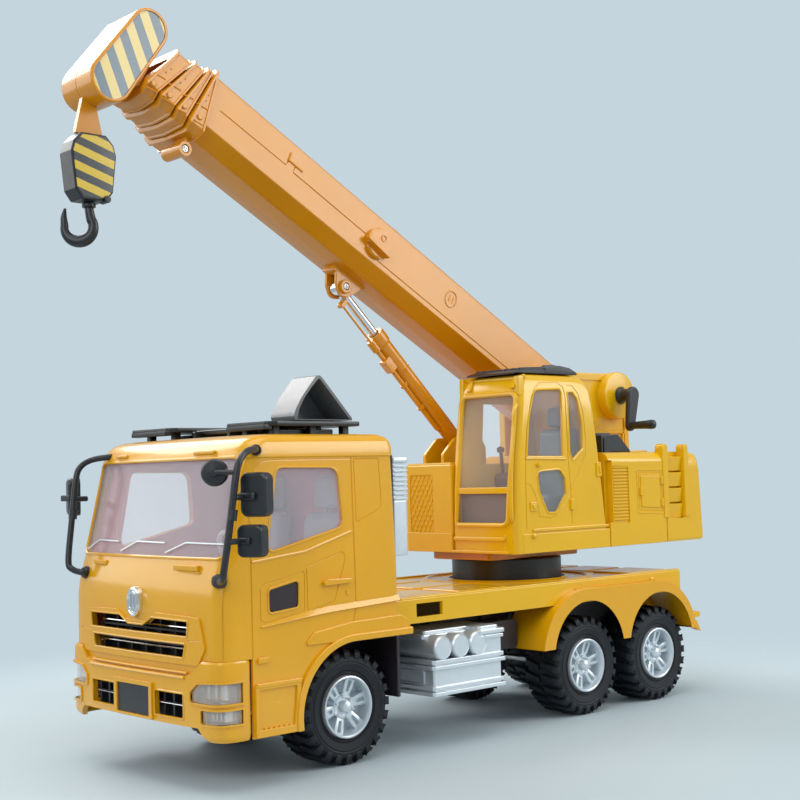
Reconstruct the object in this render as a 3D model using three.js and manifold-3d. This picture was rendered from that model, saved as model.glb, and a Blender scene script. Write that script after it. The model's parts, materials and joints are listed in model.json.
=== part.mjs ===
// Toy mobile crane on a three-axle truck, as an assembly of separate moulded pieces.
// Millimetres. +X points to the front of the truck, +Y to its left and +Z up.
// The origin is the bottom centre of the bounding box, on the floor between the wheels.
import * as THREE from 'three';
import { mergeVertices } from 'three/addons/utils/BufferGeometryUtils.js';
import Module from 'manifold-3d';

const wasm = await Module();
wasm.setup();

// ---------------------------------------------------------------- driving dimensions
const gap = 0.3;                       // left between pieces that touch
const wall = 2.4;                      // moulded shell thickness
const tyreRadius = 35;
const tyreInner = 38.6;                // inner side face of a tyre, from the centreline
const tyreOuter = 68.6;
const rimRadius = 19;
const axleRadius = 3;
const axles = { front: 124, middle: -99, rear: -182 };

const cabRear = 91.5;
const cabHalfWidth = 82;
const cabFloor = 81;
const bumperTop = 71;
const bumperRear = 204;
const roofTop = 200;

const deckTop = 95.5;
const deckHalfWidth = 70;
const deckFront = 82;
const deckRear = -211;
const chassisTop = 79;
const chassisHalfWidth = 34;
const fenderInner = 38;

const slewX = -91;                     // vertical axis of the turntable
const ringRadius = 41;
const ringTop = 108;
const swingRadius = 57;
const upperFloor = 117;
const upperFront = -33;
const upperHalfWidth = 65;
const hoodFront = -135;
const hoodRear = -204;
const upperRear = -257;
const hoodTop = 185;
const craneCabInner = 3;               // inner side wall of the crane cab
const craneCabTop = 244;

const boomPivot = { x: -190, y: -27, z: 214 };
const boomRise = THREE.MathUtils.degToRad(29);
const boomHalfWidth = 25;
const boomHalfHeight = 23;
const boomPin = 4.2;                   // radius of the pin through the boom's foot
const headAt = 467.5;                  // middle of the boom head, along the boom

const winch = { x: -218, z: 234 };
const crankArm = 27;
const cordDrop = 32.5;                 // from the sheave's centre to the hook block

const liftTop = { along: 250, below: -31.5 };   // rod pin, in the boom's own frame
const liftFoot = { x: -77, z: 190 };            // barrel pin, in the truck's frame

// ---------------------------------------------------------------- materials
const paint = (color, roughness, metalness = 0) =>
  new THREE.MeshStandardMaterial({ color, roughness, metalness });
const yellow = paint(0xe8a317, 0.3);
const orange = paint(0xf09a2a, 0.32);
const black = paint(0x18191b, 0.4);
const tyreBlack = paint(0x1c1c1e, 0.75);
const silver = paint(0xc4c8cc, 0.3, 0.6);
const chrome = paint(0xe4e6e8, 0.1, 1);
const grey = paint(0x7c7d80, 0.4);
const seatRed = paint(0x9a2a20, 0.5);
const clear = new THREE.MeshStandardMaterial({
  color: 0xf2e6ec, roughness: 0.06, transparent: true, opacity: 0.3,
});

// ---------------------------------------------------------------- solids
// A three.js geometry as a manifold solid.
function solid(geometry) {
  const bare = geometry.clone();
  bare.deleteAttribute('normal');
  bare.deleteAttribute('uv');
  const merged = mergeVertices(bare, 1e-4);
  const corners = merged.index.array;
  const kept = [];
  for (let i = 0; i < corners.length; i += 3) {
    const [a, b, c] = [corners[i], corners[i + 1], corners[i + 2]];
    if (a !== b && b !== c && c !== a) kept.push(a, b, c);
  }
  return new wasm.Manifold(new wasm.Mesh({
    numProp: 3,
    vertProperties: new Float32Array(merged.attributes.position.array),
    triVerts: new Uint32Array(kept),
  }));
}

const join = (first, ...rest) => rest.reduce((sum, next) => sum.add(next), first);
const cut = (first, ...rest) => rest.reduce((left, next) => left.subtract(next), first);

function box([x0, x1], [y0, y1], [z0, z1]) {
  const geometry = new THREE.BoxGeometry(x1 - x0, y1 - y0, z1 - z0);
  return solid(geometry.translate((x0 + x1) / 2, (y0 + y1) / 2, (z0 + z1) / 2));
}

// An outline of [a, b] points, its corners rounded where a third number gives a radius.
function outline(points) {
  const shape = new THREE.Shape();
  points.forEach(([a, b, radius = 0], i) => {
    const corner = new THREE.Vector2(a, b);
    if (radius === 0) {
      if (i === 0) shape.moveTo(a, b);
      else shape.lineTo(a, b);
      return;
    }
    const before = new THREE.Vector2(...points.at(i - 1).slice(0, 2)).sub(corner).setLength(radius);
    const after = new THREE.Vector2(...points[(i + 1) % points.length].slice(0, 2)).sub(corner);
    after.setLength(radius);
    const start = corner.clone().add(before);
    const end = corner.clone().add(after);
    if (i === 0) shape.moveTo(start.x, start.y);
    else shape.lineTo(start.x, start.y);
    shape.quadraticCurveTo(a, b, end.x, end.y);
  });
  shape.closePath();
  return shape;
}

const across = {
  X: new THREE.Matrix4().makeBasis(
    new THREE.Vector3(0, 1, 0), new THREE.Vector3(0, 0, 1), new THREE.Vector3(1, 0, 0)),
  Y: new THREE.Matrix4().makeBasis(
    new THREE.Vector3(1, 0, 0), new THREE.Vector3(0, 0, 1), new THREE.Vector3(0, -1, 0)),
  Z: new THREE.Matrix4(),
};

// An outline pushed along one axis: (y, z) along X, (x, z) along Y or (x, y) along Z.
function prism(axis, shape, [from, to]) {
  const form = Array.isArray(shape) ? outline(shape) : shape;
  const geometry = new THREE.ExtrudeGeometry(form, {
    depth: to - from, bevelEnabled: false, curveSegments: 5,
  });
  geometry.translate(0, 0, axis === 'Y' ? -to : from);
  return solid(geometry.applyMatrix4(across[axis]));
}

// A round bar along Y.
function bar(radius, x, z, [y0, y1], sides = 20) {
  const geometry = new THREE.CylinderGeometry(radius, radius, y1 - y0, sides);
  return solid(geometry.translate(x, (y0 + y1) / 2, z));
}

// A round post along Z.
function post(radius, x, y, [z0, z1], sides = 24) {
  const geometry = new THREE.CylinderGeometry(radius, radius, z1 - z0, sides);
  return solid(geometry.rotateX(Math.PI / 2).translate(x, y, (z0 + z1) / 2));
}

// A stadium outline between two centres.
function stadium([ax, ay], [bx, by], radius) {
  const heading = Math.atan2(by - ay, bx - ax);
  const shape = new THREE.Shape();
  shape.absarc(ax, ay, radius, heading + Math.PI / 2, heading + 1.5 * Math.PI);
  shape.absarc(bx, by, radius, heading - Math.PI / 2, heading + Math.PI / 2);
  shape.closePath();
  return shape;
}

// A closed skin over a stack of rings with the same number of corners each.
function loft(rings) {
  const count = rings[0].length;
  const positions = rings.flat().flatMap((corner) => corner);
  const faces = [];
  for (let level = 0; level + 1 < rings.length; level += 1) {
    for (let i = 0; i < count; i += 1) {
      const a = level * count + i;
      const b = level * count + (i + 1) % count;
      faces.push(a, b, b + count, a, b + count, a + count);
    }
  }
  const last = (rings.length - 1) * count;
  for (let i = 1; i + 1 < count; i += 1) {
    faces.push(0, i + 1, i);
    faces.push(last, last + i, last + i + 1);
  }
  const geometry = new THREE.BufferGeometry();
  geometry.setAttribute('position', new THREE.Float32BufferAttribute(positions, 3));
  geometry.setIndex(faces);
  return solid(geometry);
}

// A round tube through points, with rounded bends.
function tube(points, radius) {
  const path = new THREE.CatmullRomCurve3(points.map((p) => new THREE.Vector3(...p)), false, 'catmullrom', 0.2);
  const circle = new THREE.Shape().absarc(0, 0, radius, 0, 2 * Math.PI);
  return solid(new THREE.ExtrudeGeometry(circle, {
    steps: 2 * (points.length - 1), extrudePath: path, curveSegments: 4, bevelEnabled: false,
  }));
}

const mirrored = (form) => form.mirror([0, 1, 0]);

const object = new THREE.Group();

// Adds one named piece to a group.
function piece(parent, name, form, material) {
  const { vertProperties, triVerts } = form.getMesh();
  const geometry = new THREE.BufferGeometry();
  geometry.setAttribute('position', new THREE.BufferAttribute(vertProperties, 3));
  geometry.setIndex(new THREE.BufferAttribute(triVerts, 1));
  geometry.computeVertexNormals();
  const mesh = new THREE.Mesh(geometry, material);
  mesh.name = name;
  parent.add(mesh);
  return mesh;
}

// ---------------------------------------------------------------- wheels and axles
function tyre() {
  const half = (tyreOuter - tyreInner) / 2;
  const section = [
    [rimRadius + gap, half - 2], [rimRadius + 3, half], [tyreRadius - 5, half],
    [tyreRadius, half - 3.5], [tyreRadius, 3.5 - half], [tyreRadius - 5, -half],
    [rimRadius + 3, -half], [rimRadius + gap, 2 - half],
  ];
  const closed = [...section, section[0]].map(([r, y]) => new THREE.Vector2(r, y));
  return solid(new THREE.LatheGeometry(closed.reverse(), 32));
}

function rim() {
  const half = (tyreOuter - tyreInner) / 2 + 1;
  const section = [
    [axleRadius + gap, half - 2], [7, half - 2], [7, half - 7], [rimRadius - 2, half - 8],
    [rimRadius - 2, half], [rimRadius, half], [rimRadius, 2 - half], [axleRadius + gap, half - 14],
  ];
  const closed = [...section, section[0]].map(([r, y]) => new THREE.Vector2(r, y));
  return solid(new THREE.LatheGeometry(closed.reverse(), 20));
}

const wheelMiddle = (tyreInner + tyreOuter) / 2;
for (const [place, x] of Object.entries(axles)) {
  const set = new THREE.Group();
  set.position.set(x, 0, tyreRadius);
  object.add(set);
  const reach = tyreOuter - 4;
  piece(set, `axle_${place}`, bar(axleRadius, 0, 0, [-reach, reach], 16), chrome);
  for (const side of ['left', 'right']) {
    const turn = side === 'left' ? 0 : Math.PI;
    const y = side === 'left' ? wheelMiddle : -wheelMiddle;
    const rubber = piece(set, `tyre_${place}_${side}`, tyre(), tyreBlack);
    const disc = piece(set, `rim_${place}_${side}`, rim(), silver);
    for (const mesh of [rubber, disc]) {
      mesh.position.y = y;
      mesh.rotation.z = turn;
    }
  }
}

// ---------------------------------------------------------------- chassis, deck and tail
function chassis() {
  const bearing = 9;
  let form = join(
    box([deckRear + 6, bumperRear + 8], [-chassisHalfWidth, chassisHalfWidth], [50, chassisTop]),
    box([deckRear + 6, deckFront - 3], [-37, 37], [chassisTop - 3, chassisTop]),
  );
  for (const x of Object.values(axles)) {
    for (const side of [-1, 1]) {
      const [near, far] = [side * (chassisHalfWidth - 10), side * chassisHalfWidth].sort((a, b) => a - b);
      form = join(form, box([x - bearing, x + bearing], [near, far], [27, 52]));
    }
    form = cut(form, bar(axleRadius + 0.6, x, tyreRadius, [-chassisHalfWidth - 1, chassisHalfWidth + 1], 16));
  }
  return form;
}
piece(object, 'chassis_frame', chassis(), black);

function deck() {
  const lip = 82;
  const tray = cut(
    box([deckRear, deckFront], [-deckHalfWidth, deckHalfWidth], [lip - 2, deckTop]),
    box([deckRear + wall, deckFront - wall], [-deckHalfWidth + wall, deckHalfWidth - wall],
      [lip - 3, deckTop - 2.6]),
  );
  const tail = [[deckRear + 3, deckTop - 3], [deckRear, deckTop - 3], [deckRear, 74], [deckRear - 24, 61],
    [deckRear - 24, 57.5], [deckRear - 4, 60], [deckRear + 3, 74]];
  const step = box([deckRear - 24, deckRear - 15], [-deckHalfWidth, deckHalfWidth], [57.5, 62]);
  return join(tray, prism('Y', tail, [-fenderInner + 1, fenderInner - 1]), step);
}
piece(object, 'deck', deck(), orange);

// ---------------------------------------------------------------- rear fenders
function fender() {
  const archZ = 43.5;
  const inner = 36.5 + gap;
  const outer = 42.5;
  const [front, back] = [axles.middle, axles.rear];
  const [inside, outside] = [fenderInner, 76];
  const arches = (radius, from, to) => join(
    bar(radius, front, archZ, [from, to], 32),
    bar(radius, back, archZ, [from, to], 32),
  );
  const saddle = box([back, front], [inside, outside], [60, archZ + outer]);
  const skin = cut(
    join(arches(outer, inside, outside), saddle),
    arches(inner, inside - 1, outside + 1),
    box([back - 60, front + 60], [inside - 1, outside + 1], [-10, 52]),
    box([back + 3, front - 3], [inside - 1, outside - wall], [40, archZ + outer - 4]),
  );
  return cut(skin, box([back - 60, front + 60], [inside - 1, deckHalfWidth + gap], [80 - gap, 120]));
}
piece(object, 'fender_left', fender(), yellow);
piece(object, 'fender_right', mirrored(fender()), yellow);

// ---------------------------------------------------------------- truck cab
// How far the front stands back from its middle, by distance from the centreline.
const bow = [[0, 0], [30, 0.5], [60, 2], [76, 3.4], [80.3, 6], [cabHalfWidth, 10.5]];
// Front, rear and half width of the cab at each height.
const cabLevels = [
  { z: 26, front: 228.5, rear: cabRear, side: 0 },
  { z: 104, front: 228.5, rear: cabRear, side: 0 },
  { z: 131, front: 222.5, rear: cabRear, side: 0.4 },
  { z: 187, front: 209, rear: cabRear + 1.5, side: 1.5 },
  { z: 196, front: 203.5, rear: cabRear + 3, side: 2.5 },
  { z: roofTop, front: 196, rear: cabRear + 7, side: 7 },
];

function cabBody(inset, levels, reach = 0) {
  return loft(levels.map(({ z, front, rear, side }) => {
    const half = bow.map(([y, back]) => [
      front + reach - back - inset,
      y === 0 ? 0 : y * (1 - (side + inset) / cabHalfWidth),
    ]);
    const left = half.map(([x, y]) => [x, y, z]);
    const right = half.slice(1).reverse().map(([x, y]) => [x, -y, z]);
    const width = cabHalfWidth - side - inset;
    return [...left, [rear + inset, width, z], [rear + inset, -width, z], ...right];
  }));
}

const insideLevels = (inset) => cabLevels.map((level, i) => ({
  ...level, z: i === cabLevels.length - 1 ? level.z - inset : level.z - inset * (i / cabLevels.length),
}));

const wheelArch = { x: 129, z: 35, radius: 42 };
const archCut = (from, to) => join(
  bar(wheelArch.radius, wheelArch.x, wheelArch.z, [from, to], 32),
  box([cabRear - 20, wheelArch.x], [from, to], [0, 77]),
);

const windscreen = [[-76, 133, 5], [76, 133, 5], [75, 185, 5], [-75, 185, 5]];
const doorWindow = [[192.5, 132, 4], [135.5, 144, 5], [138, 180, 5], [183.5, 180.5, 5]];
const lowerWindow = [[192.5, 97.5, 2], [170.5, 99.5, 2], [170, 115.5, 2], [192.5, 111.5, 2]];

function cabShell() {
  const low = -5;
  return cut(
    cabBody(0, cabLevels),
    cabBody(wall, insideLevels(wall)),
    box([cabRear - 5, 240], [-cabHalfWidth - 5, cabHalfWidth + 5], [low, 29]),
    box([bumperRear, 240], [-cabHalfWidth - 5, cabHalfWidth + 5], [low, bumperTop - 6.5]),
    box([bumperRear, 240], [58, cabHalfWidth + 5], [low, bumperTop + 2.5]),
    box([bumperRear, 240], [-cabHalfWidth - 5, -58], [low, bumperTop + 2.5]),
    archCut(-cabHalfWidth - 5, cabHalfWidth + 5),
    box([cabRear - 5, cabRear + wall + 1], [-chassisHalfWidth - 26, chassisHalfWidth + 26], [0, chassisTop + 1]),
    prism('X', windscreen, [200, 240]),
    prism('Y', doorWindow, [-cabHalfWidth - 5, cabHalfWidth + 5]),
    prism('Y', lowerWindow, [-cabHalfWidth - 5, cabHalfWidth + 5]),
    prism('X', grilleOpening, [215, 240]),
  );
}

const grilleOpening = [[-53, 74], [53, 74], [55, 95.5], [-55, 95.5]];
piece(object, 'cab_shell', cabShell(), yellow);

function cabGlazing() {
  const outside = wall + gap;
  const pane = 1.5;
  return cut(
    cabBody(outside, insideLevels(outside)),
    cabBody(outside + pane, insideLevels(outside + pane)),
    box([0, 128], [-90, 90], [0, 210]),
    box([0, 240], [-90, 90], [0, 96]),
    box([0, 240], [-90, 90], [190, 210]),
    box([208, 240], [-90, 90], [0, 129]),
  );
}
piece(object, 'cab_glazing', cabGlazing(), clear);

function cabInterior() {
  const seatOutline = [[112, cabFloor + 2], [150, cabFloor + 2], [152, 104, 3], [128, 102], [121, 156, 3], [110, 156, 3]];
  const dashOutline = [[186, cabFloor + 2], [206, cabFloor + 2], [208, 124, 3], [188, 118, 4]];
  return join(
    box([98, 208], [-75, 75], [cabFloor, cabFloor + 3]),
    prism('Y', seatOutline, [18, 66]),
    prism('Y', seatOutline, [-66, -18]),
    prism('Y', dashOutline, [-72, 72]),
  );
}
piece(object, 'cab_interior', cabInterior(), seatRed);

function grille() {
  return join(
    prism('X', [[-52.5, 74.5], [52.5, 74.5], [54.5, 95], [-54.5, 95]], [220, 223]),
    box([219, 224], [-50, 50], [84, 85.5]),
  );
}
piece(object, 'front_grille', grille(), black);

const badge = new THREE.Shape().absellipse(0, 103, 7, 9, 0, 2 * Math.PI, false, 0);
piece(object, 'front_badge', prism('X', badge, [228.5 + gap, 231.5]), chrome);

// ---------------------------------------------------------------- bumper, lamps and plate
const bumperReach = 2.5;
const plateFrame = { halfWidth: 21, low: 37, high: 58 };
const lampOutline = [[58, 50.5], [76, 50.5], [79, 57], [76, 61.5], [63, 60.5], [58, 56]];

function bumper() {
  const levels = [
    { z: 29, front: 227, rear: bumperRear + gap, side: 0.5 },
    { z: 36, front: 228.5, rear: bumperRear + gap, side: 0 },
    { z: bumperTop + 2, front: 228.5, rear: bumperRear + gap, side: 0 },
  ];
  const hollow = [{ ...levels[0], z: 20, rear: 180 }, { ...levels[2], z: 90, rear: 180 }];
  return cut(
    cabBody(0, levels, bumperReach),
    cabBody(wall + 1, hollow, bumperReach),
    box([bumperRear - 2, 240], [-58, 58], [bumperTop - 6.5 - gap, 90]),
    box([bumperRear - 2, 240], [-58, 58], [20, 35.5]),
    box([222, 240], [-51, 51], [39.5, 54]),
    prism('X', lampOutline, [205, 240]),
    mirrored(prism('X', lampOutline, [205, 240])),
  );
}
piece(object, 'front_bumper', bumper(), yellow);

const lampLens = [[58.4, 51], [75.6, 51], [78.2, 57], [75.6, 61], [63.2, 60], [58.4, 56]];
function lamp() {
  return cut(prism('X', lampLens, [212, 226.5]), prism('X', [[52, 40], [90, 40], [90, 70], [52, 70]], [205, 216]));
}
piece(object, 'headlamp_left', lamp(), clear);
piece(object, 'headlamp_right', mirrored(lamp()), clear);
piece(object, 'bumper_grille', box([224, 226.8], [-50.4, 50.4], [40, 53.5]), black);
const plateBox = [[-plateFrame.halfWidth, plateFrame.low], [plateFrame.halfWidth, plateFrame.low],
  [plateFrame.halfWidth, plateFrame.high], [-plateFrame.halfWidth, plateFrame.high]];
piece(object, 'number_plate', prism('X', plateBox, [231 + gap, 233]), black);

// ---------------------------------------------------------------- roof gear and mirrors
function roofRack() {
  const plate = prism('Z', [[103, 12, 4], [176, 12, 4], [174, 64, 4], [105, 64, 4]], [205, 208.4]);
  const legs = [[112, 20], [166, 20], [112, 56], [166, 56]];
  const half = join(plate, ...legs.map(([x, y]) => post(3, x, y, [roofTop + gap, 206], 8)));
  const bridge = box([120, 160], [-14, 14], [205, 207]);
  return join(half, mirrored(half), bridge);
}
piece(object, 'roof_rack', roofRack(), black);

function windDeflector() {
  const wedge = [[109, 208.7], [153, 208.7, 2], [131, 236, 4]];
  const hollow = [[115, 210.7], [147, 210.7], [131, 231]];
  return cut(prism('Y', wedge, [22, 60]), prism('Y', hollow, [15, 65]));
}
piece(object, 'wind_deflector', windDeflector(), grey);

function mirrorSet() {
  const arm = tube([
    [199, 81.5, 190], [206, 92, 190], [219, 99, 186], [223, 100, 178],
    [228, 100, 124], [224, 92, 119], [220.5, 82.5, 118.5],
  ], 2.1);
  return join(
    arm,
    box([208, 216], [91, 112], [153, 178]),
    box([209, 217], [93, 110], [131, 149]),
    box([214, 227], [99, 101], [163, 166]),
    box([214, 228], [99, 101], [139, 142]),
    bar(8.5, 226, 177, [84, 88], 16),
    box([222, 226], [87, 100], [175.5, 178.5]),
  );
}
piece(object, 'mirror_left', mirrorSet(), black);
piece(object, 'mirror_right', mirrored(mirrorSet()), black);

// ---------------------------------------------------------------- stack and side boxes
const stackOutline = [[77, 56, 2], [90, 56], [90, 76], [77, 76, 2]];
piece(object, 'intake_stack', prism('Z', stackOutline, [124, 185]), silver);

function sideBox() {
  return join(
    box([-5.6, 59.3], [chassisHalfWidth + gap, 76.5], [35, 55]),
    box([-5.6, 17], [chassisHalfWidth + gap, 76.5], [55, 70]),
    ...[0, 1, 2].map((i) => bar(7.9, 50.5 - 15.2 * i, 60.5, [chassisHalfWidth + gap, 78], 20)),
    box([-7, 61], [chassisHalfWidth + gap, 78], [67, 73.5]),
    box([-7, 61], [chassisHalfWidth + gap, 78], [49.5, 56]),
    box([-7, 61], [chassisHalfWidth + gap, 78], [33.3, 39.5]),
  );
}
piece(object, 'side_box_left', sideBox(), silver);
piece(object, 'side_box_right', mirrored(sideBox()), silver);

// ---------------------------------------------------------------- turntable
piece(object, 'turntable_ring', post(ringRadius, slewX, 0, [deckTop + gap, ringTop], 36), black);

const upper = new THREE.Group();
object.add(upper);
piece(upper, 'swing_plate', post(swingRadius, slewX, 0, [ringTop + gap, upperFloor], 16), orange);

// ---------------------------------------------------------------- crane superstructure
const floorZ = upperFloor + gap;
const cabPlan = [[upperFront - 1, craneCabInner], [upperFront, 58], [upperFront - 6, upperHalfWidth - 0.5],
  [hoodFront + gap, upperHalfWidth - 0.5], [hoodFront + gap, craneCabInner]];

function upperBody() {
  const plan = [[upperFront, craneCabInner - gap], [upperFront, -46, 3], [upperFront - 20, -upperHalfWidth, 3],
    [hoodFront, -upperHalfWidth], [hoodFront, craneCabInner - gap]];
  const well = box([-122, -45], [-44, -10], [floorZ + 18, hoodTop + 5]);
  const ear = [[liftFoot.x - 12, floorZ + 17], [-44, floorZ + 17], [-44, hoodTop + 3, 2], [liftFoot.x + 20, liftFoot.z + 11, 5],
    [liftFoot.x - 7, liftFoot.z + 11, 5], [liftFoot.x - 12, liftFoot.z + 4, 2]];
  const ears = [-11.2, 8.2].map((side) => prism('Y', ear, [boomPivot.y + side, boomPivot.y + side + 3]));
  return join(cut(prism('Z', plan, [floorZ, hoodTop]), well), ...ears);
}
piece(upper, 'upper_body', upperBody(), orange);

function engineHood() {
  const section = [[-upperHalfWidth, floorZ], [upperHalfWidth, floorZ], [upperHalfWidth, hoodTop, 6],
    [-upperHalfWidth, hoodTop, 6]];
  return prism('X', section, [hoodRear + gap, hoodFront - gap]);
}
piece(upper, 'engine_hood', engineHood(), yellow);

function counterweight() {
  const side = [[hoodRear - gap, floorZ], [upperRear, floorZ, 3], [upperRear + 6, hoodTop, 8], [hoodRear - gap, hoodTop]];
  const plan = [[hoodRear - gap, -upperHalfWidth], [hoodRear - gap, upperHalfWidth],
    [upperRear + 10, upperHalfWidth, 6], [upperRear, 50, 6], [upperRear, -50, 6], [upperRear + 10, -upperHalfWidth, 6]];
  const block = prism('Y', side, [-upperHalfWidth, upperHalfWidth]).intersect(prism('Z', plan, [100, 200]));
  const hoops = [-1, 1].flatMap((end) => [hoodRear - 6, hoodRear - 29].map((x) => {
    const middle = end * (upperHalfWidth - 4);
    return bar(6, x, hoodTop, [middle - 2, middle + 2], 14);
  }));
  return join(block, ...hoops);
}
piece(upper, 'counterweight', counterweight(), yellow);

const frontPane = [[8, 136, 3], [58, 136, 5], [61, 229, 6], [9, 229, 3]];
const sideDoorPane = [[-46, 185], [-57, 231, 5], [-87, 233, 5], [-85.5, 184]];
const sideRearPane = [[-97.5, 230, 3], [-92.5, 230, 2], [-91.5, 190, 3], [-99.5, 180, 3], [-104.5, 186, 4], [-103, 222, 6]];
const sideLowPane = [[-59, 174, 3], [-81, 174, 5], [-85, 158, 5], [-70, 146, 4], [-60, 150, 4]];

function craneCab(inset) {
  const profile = [[upperFront - inset, floorZ + inset * 0.5], [upperFront - inset, 132], [upperFront - 10 - inset, craneCabTop - inset, 8],
    [-120 + inset, craneCabTop - inset, 8], [hoodFront + gap + inset, floorZ + inset * 0.5]];
  const inner = craneCabInner + inset;
  const outer = upperHalfWidth - 0.5 - inset;
  const front = [[inner, floorZ + inset * 0.5], [outer, floorZ + inset * 0.5], [outer, 190], [outer - 4, craneCabTop - inset, 5], [inner, craneCabTop - inset, 4]];
  return prism('Y', profile, [inner, outer]).intersect(prism('X', front, [-140, -30]));
}

function craneCabShell() {
  return cut(
    craneCab(0),
    craneCab(wall),
    prism('X', frontPane, [-60, -20]),
    prism('Y', sideDoorPane, [40, 80]),
    prism('Y', sideRearPane, [40, 80]),
    prism('Y', sideLowPane, [40, 80]),
    box([-125, -45], [12, 56], [floorZ - 1, floorZ + wall + 1]),
  );
}
piece(upper, 'crane_cab_shell', craneCabShell(), yellow);

function craneCabGlazing() {
  const outside = wall + gap;
  return cut(
    craneCab(outside),
    craneCab(outside + 1.4),
    box([-140, -20], [0, 10 + wall], [100, 250]),
    box([-140, -20], [0, 80], [100, 133]),
    box([-140, -20], [0, 80], [234, 250]),
    box([-140, -108], [0, 80], [100, 250]),
  );
}
piece(upper, 'crane_cab_glazing', craneCabGlazing(), clear);

const seatOutline = [[-112, 122], [-74, 122], [-72, 158, 4], [-96, 156], [-100, 206, 4], [-112, 206, 4]];
piece(upper, 'crane_seat', prism('Y', seatOutline, [18, 50]), black);

const grateOutline = [[-118, 12, 3], [-52, 12, 3], [-52, 56, 3], [-118, 56, 3]];
piece(upper, 'crane_roof_grate', prism('Z', grateOutline, [craneCabTop + gap, craneCabTop + 4]), black);

function engineBox() {
  const section = [[-136.5, hoodTop + gap], [-136.5, 200, 1], [-158, 201, 2], [-171, 188, 2], [-172, hoodTop + gap]];
  return prism('Y', section, [18, 54]);
}
piece(upper, 'engine_box', engineBox(), black);

// ---------------------------------------------------------------- boom tower and winch
const cheek = { near: [-1, 5], far: [-59, -53] };
const bossEdge = 12;

function tower() {
  const side = [[-236.5, hoodTop + gap], [-150, hoodTop + gap], [-150, 244, 8], [-168, 252, 6], [-236.5, 252, 18]];
  return cut(
    join(
      prism('Y', side, cheek.near),
      prism('Y', side, cheek.far),
      box([-236.5, -155], [cheek.far[0], cheek.near[1]], [hoodTop + gap, hoodTop + 3]),
      box([-236.5, -233.5], [cheek.far[0], cheek.near[1]], [hoodTop + gap, 224]),
      bar(19, winch.x, winch.z, [cheek.near[1] - 1, bossEdge], 32),
    ),
    bar(axleRadius + 0.6, winch.x, winch.z, [cheek.far[0] + 2, bossEdge + 1]),
  ).add(bar(boomPin, boomPivot.x, boomPivot.z, [cheek.far[0], cheek.near[1]]));
}
piece(upper, 'boom_tower', tower(), yellow);

const drumSides = { left: -4, right: -50 };
piece(upper, 'winch_drum', join(
  bar(6, winch.x, winch.z, [drumSides.right, drumSides.left]),
  bar(8, winch.x, winch.z, [drumSides.right, drumSides.right + 2]),
  bar(8, winch.x, winch.z, [drumSides.left - 2, drumSides.left]),
  bar(axleRadius, winch.x, winch.z, [-55, bossEdge + 8], 16),
), black);

function crank() {
  const arm = bossEdge + 15;
  return cut(
    join(
      bar(4.6, winch.x, winch.z, [bossEdge + gap, arm]),
      box([winch.x - 3.6, winch.x + 3.6], [arm - 4, arm + 1], [winch.z - crankArm, winch.z + 4.5]),
      bar(3.6, winch.x, winch.z - crankArm, [arm - 4, arm + 25]),
    ),
    bar(axleRadius + gap, winch.x, winch.z, [bossEdge, bossEdge + 8.5]),
  );
}
piece(upper, 'crank_handle', crank(), black);

// ---------------------------------------------------------------- boom
const boom = new THREE.Group();
boom.position.set(boomPivot.x, boomPivot.y, boomPivot.z);
boom.rotation.y = -boomRise;
upper.add(boom);

// The boom's section: flat sides, small upper corners, deep lower corners and a bowed belly.
function boomSection(shrink) {
  const w = boomHalfWidth - shrink;
  const up = boomHalfHeight - shrink;
  const low = shrink - boomHalfHeight;
  return [[w, low + 11], [w, up - 4], [w - 5, up], [5 - w, up], [-w, up - 4], [-w, low + 11],
    [9 - w, low + 2], [0, low], [w - 9, low + 2]];
}

// A telescoping tube with a collar on its mouth.
function telescope({ size, thickness, tail, mouth, collar, lip }) {
  return cut(
    join(
      prism('X', boomSection(size), [tail, mouth]),
      prism('X', boomSection(lip), [mouth - collar, mouth]),
    ),
    prism('X', boomSection(size + thickness), [tail - 1, mouth + 1]),
  );
}

const stages = [
  { name: 'boom_outer', size: 0, thickness: 2.4, tail: 26, mouth: 416, collar: 12, lip: -1.8 },
  { name: 'boom_section_2', size: 2.8, thickness: 1.8, tail: 60, mouth: 427.7, collar: 11.2, lip: 0 },
  { name: 'boom_section_3', size: 5, thickness: 1.8, tail: 75, mouth: 439.7, collar: 11.5, lip: 1.4 },
  { name: 'boom_tip', size: 7.2, thickness: 1.8, tail: 90, mouth: 452, collar: 12, lip: 2.8 },
];

function boomFoot() {
  const cheekGap = boomHalfWidth;
  return join(
    bar(22, 0, 0, [-cheekGap, cheekGap], 28),
    prism('X', boomSection(0), [4, 30]),
  );
}

for (const stage of stages) {
  let form = telescope(stage);
  if (stage.name === 'boom_outer') {
    const lug = prism('Y', [[liftTop.along - 16, -20], [liftTop.along + 14, -20],
      [liftTop.along + 7, liftTop.below - 7, 6], [liftTop.along - 7, liftTop.below - 7, 6]], [0, 2.6]);
    form = join(form, boomFoot(), lug.translate([0, 4, 0]), lug.translate([0, -6.6, 0]));
    form = cut(form,
      bar(boomPin + 0.4, 0, 0, [-30, 30]),
      box([-30, 26.5], [-17, 17], [-30, 30]).subtract(box([-30, 10], [-30, 30], [-14, 14])),
    );
  }
  piece(boom, stage.name, form, orange);
}

const head = { low: [headAt + 2.5, -25], high: [headAt - 2.5, 21], radius: 13, halfWidth: 17.8 };
const sheaveAt = { s: head.low[0], n: head.low[1] };
const sheaveRadius = 7;
const cordRadius = 0.6;

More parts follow.
